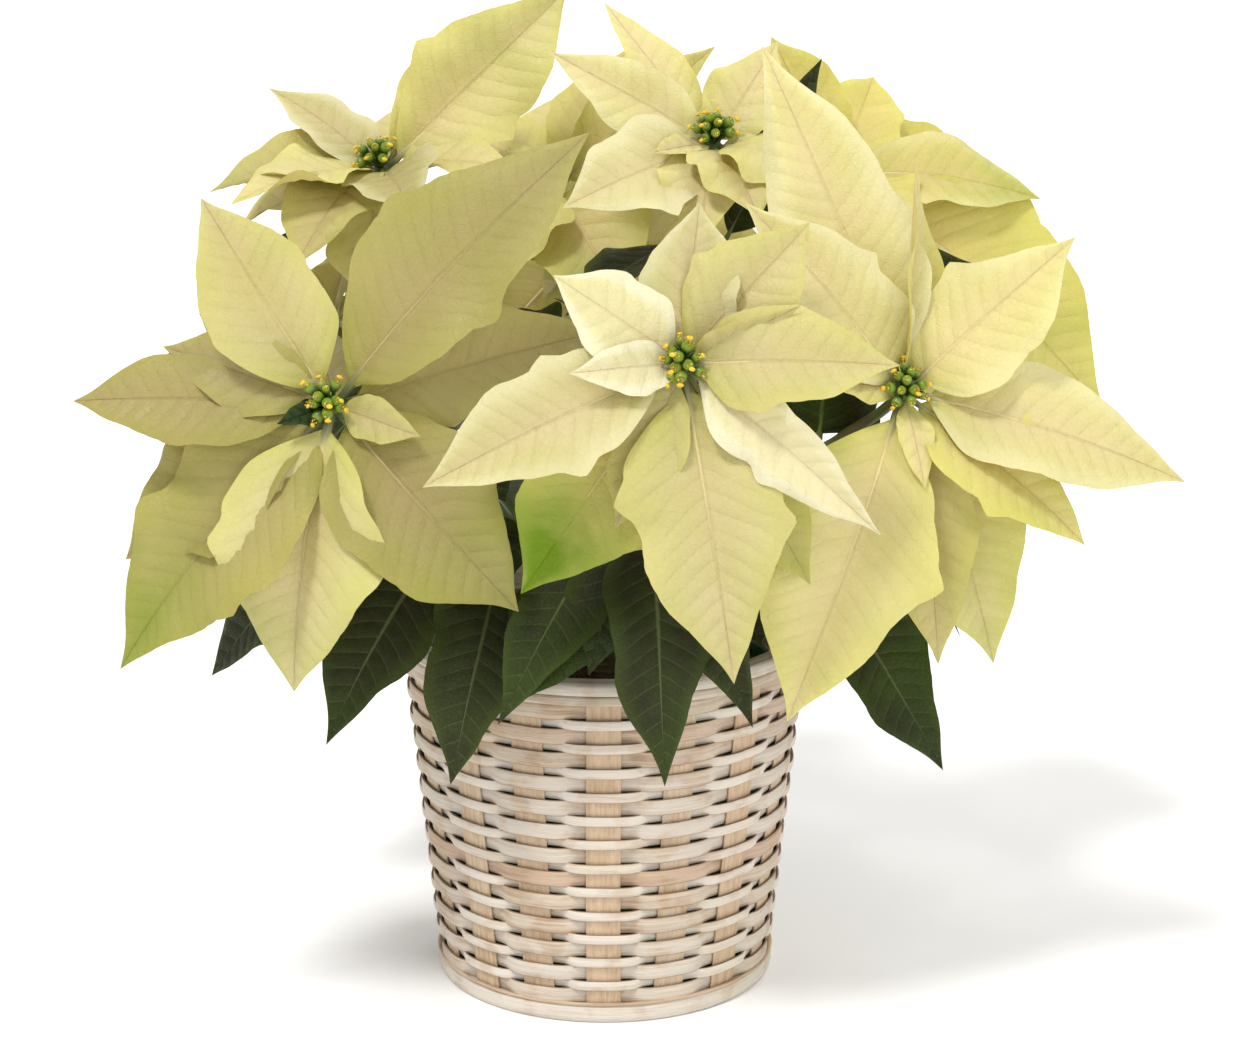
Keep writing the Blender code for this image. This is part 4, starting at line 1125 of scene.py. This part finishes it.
def soil_place(around, along):
    """A plug that rises up its wall, over its edge and in to the trunk's hole."""
    turn = np.pi * around
    floor_at = POT_LOW + POT_WALL + GAP
    knots = [(0.0, 0.0, floor_at), (0.02, soil_reach(floor_at), floor_at),
             (0.3, soil_reach(SOIL_SHOULDER), SOIL_SHOULDER),
             (0.36, soil_reach(SOIL_SHOULDER) - 0.004, SOIL_TOP - 0.001),
             (0.92, TRUNK_RADIUS + 0.004, SOIL_TOP + 0.001),
             (0.97, TRUNK_RADIUS + GAP, SOIL_TOP), (0.985, TRUNK_RADIUS + GAP, TRUNK_ROOT - GAP),
             (1.0, 0.0, TRUNK_ROOT - GAP)]
    places, reach, rise = zip(*knots)
    out = np.interp(along, places, reach)
    up = np.interp(along, places, rise)
    top = (along > 0.36) & (along < 0.95)
    lumps = 0.0011 * np.sin(out * 310 + 3 * np.sin(turn * 3)) * np.cos(turn * 7 + out * 200)
    return np.column_stack((out * np.cos(turn), out * np.sin(turn), up + np.where(top, lumps, 0.0)))


def sprinkle(piece, count, sizes, finish, chance):
    """Crumbs half sunk in the top of the soil."""
    piece.finish_now = finish
    for _ in range(count):
        turn = chance.uniform(0, math.tau)
        out = 0.014 + (soil_reach(SOIL_SHOULDER) - 0.0185) * math.sqrt(chance.uniform())
        size = chance.uniform(*sizes)
        spot = Vector((out * math.cos(turn), out * math.sin(turn), SOIL_TOP + 0.0004))
        tilt = Matrix.Rotation(chance.uniform(0, math.tau), 4, Vector(chance.normal(size=3)))
        squeeze = Matrix.Diagonal((size, size * chance.uniform(0.5, 0.9), size * chance.uniform(0.4, 0.8), 1))
        made = bmesh.ops.create_icosphere(
            piece.shape, subdivisions=1, radius=1.0, matrix=Matrix.Translation(spot) @ tilt @ squeeze
        )["verts"]
        piece.mark(made, faces_of(made), {"tint": chance.uniform()})


chance = np.random.default_rng(41)
piece = Piece("potting_mix")
piece.grid(72, 60, soil_place, {"tint": 0.0})
sprinkle(piece, 520, (0.001, 0.003), 0, chance)
sprinkle(piece, 110, (0.0007, 0.0019), 1, chance)
soil = piece.object([peat, perlite])
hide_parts("soil")
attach(soil, "root")
print("soil faces:", len(soil.data.polygons))

# %% [markdown]
# ## The nursery pot
#
# The pot is thin moulded plastic with a rolled lip. A profile drawn once on one side and spun right round
# gives it, which is also how its mould was turned.

# %% Make the plastic finish and a way to spin profiles
plastic = Finish("moulded_plastic", 0.42, (0.05, 0.16, 0.08))
plastic.paint(plastic.patches(90.0), (0.045, 0.125, 0.065), (0.03, 0.095, 0.05))
plastic.feed("Roughness", plastic.patches(300.0).span(0.0, 1.0, 0.36, 0.5))


def spin_profile(piece, profile, steps, marks):
    """A closed profile of (radius, height) pairs spun right round the Z axis."""
    shape = piece.shape
    before = set(shape.verts)

    def fresh():
        return [vert for vert in shape.verts if vert not in before]

    ring = [shape.verts.new((out, 0, up)) for out, up in profile]
    edges = [shape.edges.new((a, b)) for a, b in zip(ring, ring[1:] + ring[:1])]
    bmesh.ops.spin(
        shape, geom=ring + edges, cent=(0, 0, 0), axis=(0, 0, 1), angle=math.tau, steps=steps, use_merge=True
    )
    bmesh.ops.remove_doubles(shape, verts=fresh(), dist=WELD)
    loose = {edge for vert in fresh() for edge in vert.link_edges if not edge.link_faces}
    bmesh.ops.delete(shape, geom=list(loose), context="EDGES")
    made = fresh()
    piece.mark(made, faces_of(made), marks)


def rounded(points, size, steps=4):
    """A closed profile with each corner rounded off by size."""
    points = np.array(points, float)
    result = []
    for before, corner, after in zip(np.roll(points, 1, 0), points, np.roll(points, -1, 0)):
        cut = [min(size, 0.45 * np.linalg.norm(end - corner)) for end in (before, after)]
        start, stop = corner + unit(before - corner) * cut[0], corner + unit(after - corner) * cut[1]
        for t in np.linspace(0, 1, steps):
            result.append(tuple((1 - t) ** 2 * start + 2 * t * (1 - t) * corner + t * t * stop))
    return result


high = POT_LOW + POT_HEIGHT
piece = Piece("nursery_pot")
inner = POT_FOOT_RADIUS - POT_WALL
profile = [(0, POT_LOW + 0.001), (0.052, POT_LOW + 0.001), (0.054, POT_LOW),
           (POT_FOOT_RADIUS - 0.001, POT_LOW), (POT_FOOT_RADIUS, POT_LOW + 0.001),
           (POT_TOP_RADIUS - 0.0026, high - 0.013), (POT_TOP_RADIUS - 0.0004, high - 0.011),
           (POT_TOP_RADIUS, high - 0.0006), (POT_TOP_RADIUS - 0.0008, high),
           (POT_TOP_RADIUS - 0.0022, high - 0.0004), (POT_TOP_RADIUS - 0.0036, high - 0.012),
           (inner, POT_LOW + POT_WALL + 0.0012), (0, POT_LOW + POT_WALL + 0.0012)]
spin_profile(piece, profile, 96, {})
pot = piece.object([plastic], sharp=35)
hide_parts("grow_pot")
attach(pot, "root")
print("pot faces:", len(pot.data.polygons))

# %% [markdown]
# ## The basket's finish
#
# The splints are peeled wood brushed with thin white paint. The paint lies unevenly: it is worn off the
# crowns and edges, and the tan wood shows through in streaks along the grain. So paint is laid on wood
# by a mask made from the long grain, the strip's edge and each strip's own share of paint. The stakes
# are barely painted, which is why they look tan between the strips. Along each strip's top and bottom
# edge a dark brown line is painted shade, where the strips meet.

# %% Make the splint finishes
def splint_finish(name, wood_dark, wood_light, paint, cover, stretch):
    """Wood with a worn coat of thin paint, its grain running along stretch."""
    made = Finish(name, 0.62, paint)
    grain = made.effect(long_grain, Stretch=stretch)
    streaks, threads = grain["Streaks"], grain["Threads"]
    tint, edge, bare = made.mark("tint"), made.mark("edge"), made.mark("bare")
    wood = made.mix(threads * 0.35, made.mix(streaks, wood_dark, wood_light), wood_dark)
    coat = made.mix(tint.span(0.55, 1.0), paint, (0.94, 0.78, 0.72), "MULTIPLY")
    coat = made.mix(tint.span(0.45, 0.0), coat, (1.04, 1.06, 1.1), "MULTIPLY")
    coat = made.mix(made.patches(22.0).span(0.4, 1.0, 0.0, 0.35), coat, (0.9, 0.94, 0.8), "MULTIPLY")
    worn = edge ** 4.0 * 0.3 + bare * 0.65 + made.patches(65.0).span(0.45, 1.0, 0.0, 0.35)
    laid_on = (streaks + threads * 0.5) * 0.25 + cover
    painted = laid_on.math("SUBTRACT", worn, clamp=True)
    made.paint(painted, coat, wood)
    # Painted shade: a dark brown line along each strip's top and bottom edge, where the strips meet
    made.paint(edge.span(0.88, 1.0, 0.0, 0.75), (0.15, 0.085, 0.04))
    made.feed("Roughness", painted.span(0.0, 1.0, 0.52, 0.7))
    made.shader.inputs["Specular IOR Level"].default_value = 0.35
    made.bump(threads + streaks * 0.8, 0.55, 0.0003)
    return made


ALONG_STRIP, ALONG_STAKE = (28, 28, 620), (560, 560, 30)
DARK_WOOD, LIGHT_WOOD = (0.33, 0.2, 0.105), (0.62, 0.43, 0.25)
splints = {name: splint_finish(name, *looks) for name, *looks in (
    ("wide_painted_strip", DARK_WOOD, LIGHT_WOOD, (0.62, 0.55, 0.46), 0.8, ALONG_STRIP),
    ("narrow_painted_strip", DARK_WOOD, LIGHT_WOOD, (0.68, 0.61, 0.52), 0.86, ALONG_STRIP),
    ("tan_stake", (0.47, 0.33, 0.195), (0.64, 0.48, 0.32), (0.68, 0.56, 0.41), 0.3, ALONG_STAKE),
    ("smooth_band", DARK_WOOD, (0.62, 0.48, 0.32), (0.64, 0.575, 0.48), 0.76, ALONG_STRIP),
)}
print("finishes:", list(splints))

# %% [markdown]
# ## Stakes and strips
#
# Sixteen flat stakes stand round the wall. Strips run round them in pairs: a wide one over the odd
# stakes and behind the even ones, then a narrow one the other way about. On the real basket each strip
# springs straight between stakes and bends hard over them. Here each strip is a grid rolled into a hoop
# with a crowned section, and the hoop's radius swings out and in eight times round, in a flattened wave.

# %% Weave the wall
BASKET_HEIGHT = 0.16
BASKET_TOP_RADIUS = 0.0892
BASKET_FOOT_RADIUS = 0.0735
FOOT_HEIGHT = 0.008
RIM_HEIGHT = 0.011
RIM_TUBE = 0.0055
WALL_THICKNESS = 0.0045
STAKE_COUNT = 16
SWINGS = STAKE_COUNT // 2
STAKE_WIDTH = 0.014
STAKE_THICKNESS = 0.0013
WEAVE_PAIRS = 12
WIDE_SHARE = 0.62
STRIP_THICKNESS = 0.0011
SWAY = 0.00165
HOOP_STEPS = 160


def wall_radius(height):
    """Radius of the wall's middle layer at this height."""
    share = (height - FOOT_HEIGHT) / (BASKET_HEIGHT - FOOT_HEIGHT)
    return BASKET_FOOT_RADIUS + (BASKET_TOP_RADIUS - BASKET_FOOT_RADIUS) * share - 0.0016


def weave_strip(piece, middle, width, over_odd, chance):
    """One hoop of splint, pushed out over every other stake and in behind the ones between."""
    half, thick = width / 2, STRIP_THICKNESS / 2
    over = np.array((-1.0, -0.86, -0.45, 0.0, 0.45, 0.86, 1.0))
    skin, crown = thick * (1 - 0.35 * over ** 4), 0.00028 * (1 - over ** 2)
    outs = np.concatenate((crown + skin, (crown - skin)[::-1], (crown + skin)[:1]))
    ups = np.concatenate((over, over[::-1], over[:1])) * half
    places = np.linspace(0, 1, len(outs))
    drift, phase = chance.uniform(0.05, 0.18, 3) * MM, chance.uniform(0, math.tau, 3)
    gains = chance.uniform(0.84, 1.14, SWINGS)
    hand = -1.0 if over_odd else 1.0

    def place(across, along):
        turn = np.pi * across
        wave = np.cos(SWINGS * (turn + np.pi / 2)) * hand
        wave = np.tanh(2.6 * wave) / math.tanh(2.6)
        gain = gains[np.rint((turn + np.pi) / math.tau * SWINGS + hand * 0.25 + 0.25).astype(int) % SWINGS]
        drop = sum(d * np.sin((k + 1) * turn + p) for k, (d, p) in enumerate(zip(drift, phase)))
        height = middle + np.interp(along, places, ups) + drop
        out = wall_radius(height) + np.interp(along, places, outs)
        out += SWAY * wave * np.where(wave > 0, gain, 1.0)
        return np.column_stack((out * np.cos(turn), out * np.sin(turn), height))

    piece.grid(26 * SWINGS, len(outs) - 1, place, {
        "tint": chance.uniform() ** 1.3 if over_odd else 0.6 * chance.uniform(),
        "bare": chance.choice((0.0, 0.1, 0.2, 0.45)),
        "edge": lambda along: np.abs(np.interp(along, places, ups)) / half,
    })


low = FOOT_HEIGHT + GAP
pitch = (BASKET_HEIGHT - RIM_HEIGHT - GAP - low) / (WEAVE_PAIRS + WIDE_SHARE)
chance = np.random.default_rng(57)
wide_strips, narrow_strips = Piece("wide_strips"), Piece("narrow_strips")
for pair in range(WEAVE_PAIRS + 1):
    bottom = low + pair * pitch
    weave_strip(wide_strips, bottom + WIDE_SHARE * pitch / 2, WIDE_SHARE * pitch * 1.03, True, chance)
    if pair < WEAVE_PAIRS:
        middle = bottom + (1 + WIDE_SHARE) * pitch / 2
        weave_strip(narrow_strips, middle, (1 - WIDE_SHARE) * pitch * 1.06, False, chance)


def stand_stake(piece, number, chance):
    """One flat stake that leans out with the wall, bowed to its curve."""
    turn = math.tau * number / STAKE_COUNT - math.pi / 2 + chance.uniform(-0.006, 0.006)
    wide = STAKE_WIDTH * chance.uniform(0.93, 1.06)
    bend = chance.uniform(-1, 1, 2) * 0.0004

    def place(across, along, side):
        height = 0.004 + along * (BASKET_HEIGHT - 0.007)
        around = turn + across * wide / 2 / wall_radius(height) + bend[0] / 0.08 * np.sin(5 * along)
        crown = 1 - 0.5 * across ** 6
        out = wall_radius(height) + side * STAKE_THICKNESS / 2 * crown
        return np.column_stack((out * np.cos(around), out * np.sin(around), height))

    marks = {"tint": chance.uniform(), "bare": chance.uniform(0, 0.4)}
    edges = []
    for side in (1.0, -1.0):
        made = piece.grid(8, 40, lambda a, b, side=side: place(a, b, side), marks, merge=False)
        edges += [edge for edge in {e for v in made for e in v.link_edges} if len(edge.link_faces) == 1]
    bmesh.ops.bridge_loops(piece.shape, edges=edges)


piece = Piece("tan_stakes")
chance = np.random.default_rng(58)
for number in range(STAKE_COUNT):
    stand_stake(piece, number, chance)

wall = [layer.object([splints[finish]], sharp=55) for layer, finish in (
    (wide_strips, "wide_painted_strip"), (narrow_strips, "narrow_painted_strip"), (piece, "tan_stake"),
)]
for made in wall:
    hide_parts("basket_wall")
    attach(made, "root")
print("pitch mm:", round(pitch / MM, 2), "faces:", [len(made.data.polygons) for made in wall])

# %% [markdown]
# ## Rim, foot and base
#
# The top edge is a rolled border: a fat inner hoop with two flat bands pressed round it. The foot is
# one smooth pale band with a thin cord above it, and the base is a disc of plain splint. All are spun.

# %% Close the basket above and below
middle = wall_radius(BASKET_HEIGHT) + 0.0008 - WALL_THICKNESS * 0.4 + 0.0008
top = BASKET_HEIGHT
rim = Piece("rolled_rim")
outer_edge, inner_edge = middle + RIM_TUBE - 0.0004, middle - RIM_TUBE + 0.0006
for edge, size, tint, bare, corners in (
    (outer_edge, 1.0, 0.55, 0.25, ((-2.8, -10.8), (-0.7, -10.4), (-0.4, -6.6), (-3.0, -6.0))),
    (outer_edge, 1.6, 0.05, 0.05, ((-2.8, -6.4), (-0.1, -6.2), (0.0, -2.0), (-1.6, -0.3), (-3.6, -1.0))),
    (inner_edge, 1.0, 0.4, 0.1, ((0.0, -10.0), (2.2, -10.4), (3.2, -0.8), (1.2, -0.6))),
):
    band = [(edge + out * MM, top + up * MM) for out, up in corners]
    spin_profile(rim, rounded(band, size * MM), HOOP_STEPS, {"tint": tint, "bare": bare})
turns = np.linspace(0, math.tau, 14)[:-1]
core = [(middle + 0.003 * math.cos(turn), top - 0.0034 + 0.0032 * math.sin(turn)) for turn in turns]
spin_profile(rim, core, HOOP_STEPS, {"tint": 0.6, "bare": 0.2})

foot = Piece("foot_band")
inner = wall_radius(FOOT_HEIGHT) + 0.0008 - WALL_THICKNESS
out = BASKET_FOOT_RADIUS + 0.0012
band = [(inner, 0.0), (out - 0.0012, 0.0), (out, 0.0024), (out - 0.0004, FOOT_HEIGHT - 0.0008),
        (out - 0.0016, FOOT_HEIGHT), (inner, FOOT_HEIGHT)]
spin_profile(foot, rounded(band, 0.0008), HOOP_STEPS, {"tint": 0.1, "bare": 0.0})
cord = [(out - 0.0007 + 0.0009 * math.cos(a), FOOT_HEIGHT + 0.0005 + 0.0008 * math.sin(a))
        for a in np.linspace(0, math.tau, 10)[:-1]]
spin_profile(foot, cord, HOOP_STEPS, {"tint": 0.9, "bare": 0.9})

base = Piece("base_panel")
edge = inner - GAP
panel = [(0, 0), (edge, 0), (edge, PANEL_THICKNESS), (0, PANEL_THICKNESS)]
spin_profile(base, panel, 96, {"tint": 0.5, "bare": 0.6})

for piece, finish, node, slot in ((rim, "smooth_band", "basket_rim", "whitewashed_band"),
                                  (foot, "smooth_band", "basket_foot", "whitewashed_band"),
                                  (base, "tan_stake", "basket_base", "plain_splint")):
    made = piece.object([splints[finish]], sharp=40)
    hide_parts(node)
    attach(made, "root")
    print(made.name, len(made.data.polygons))
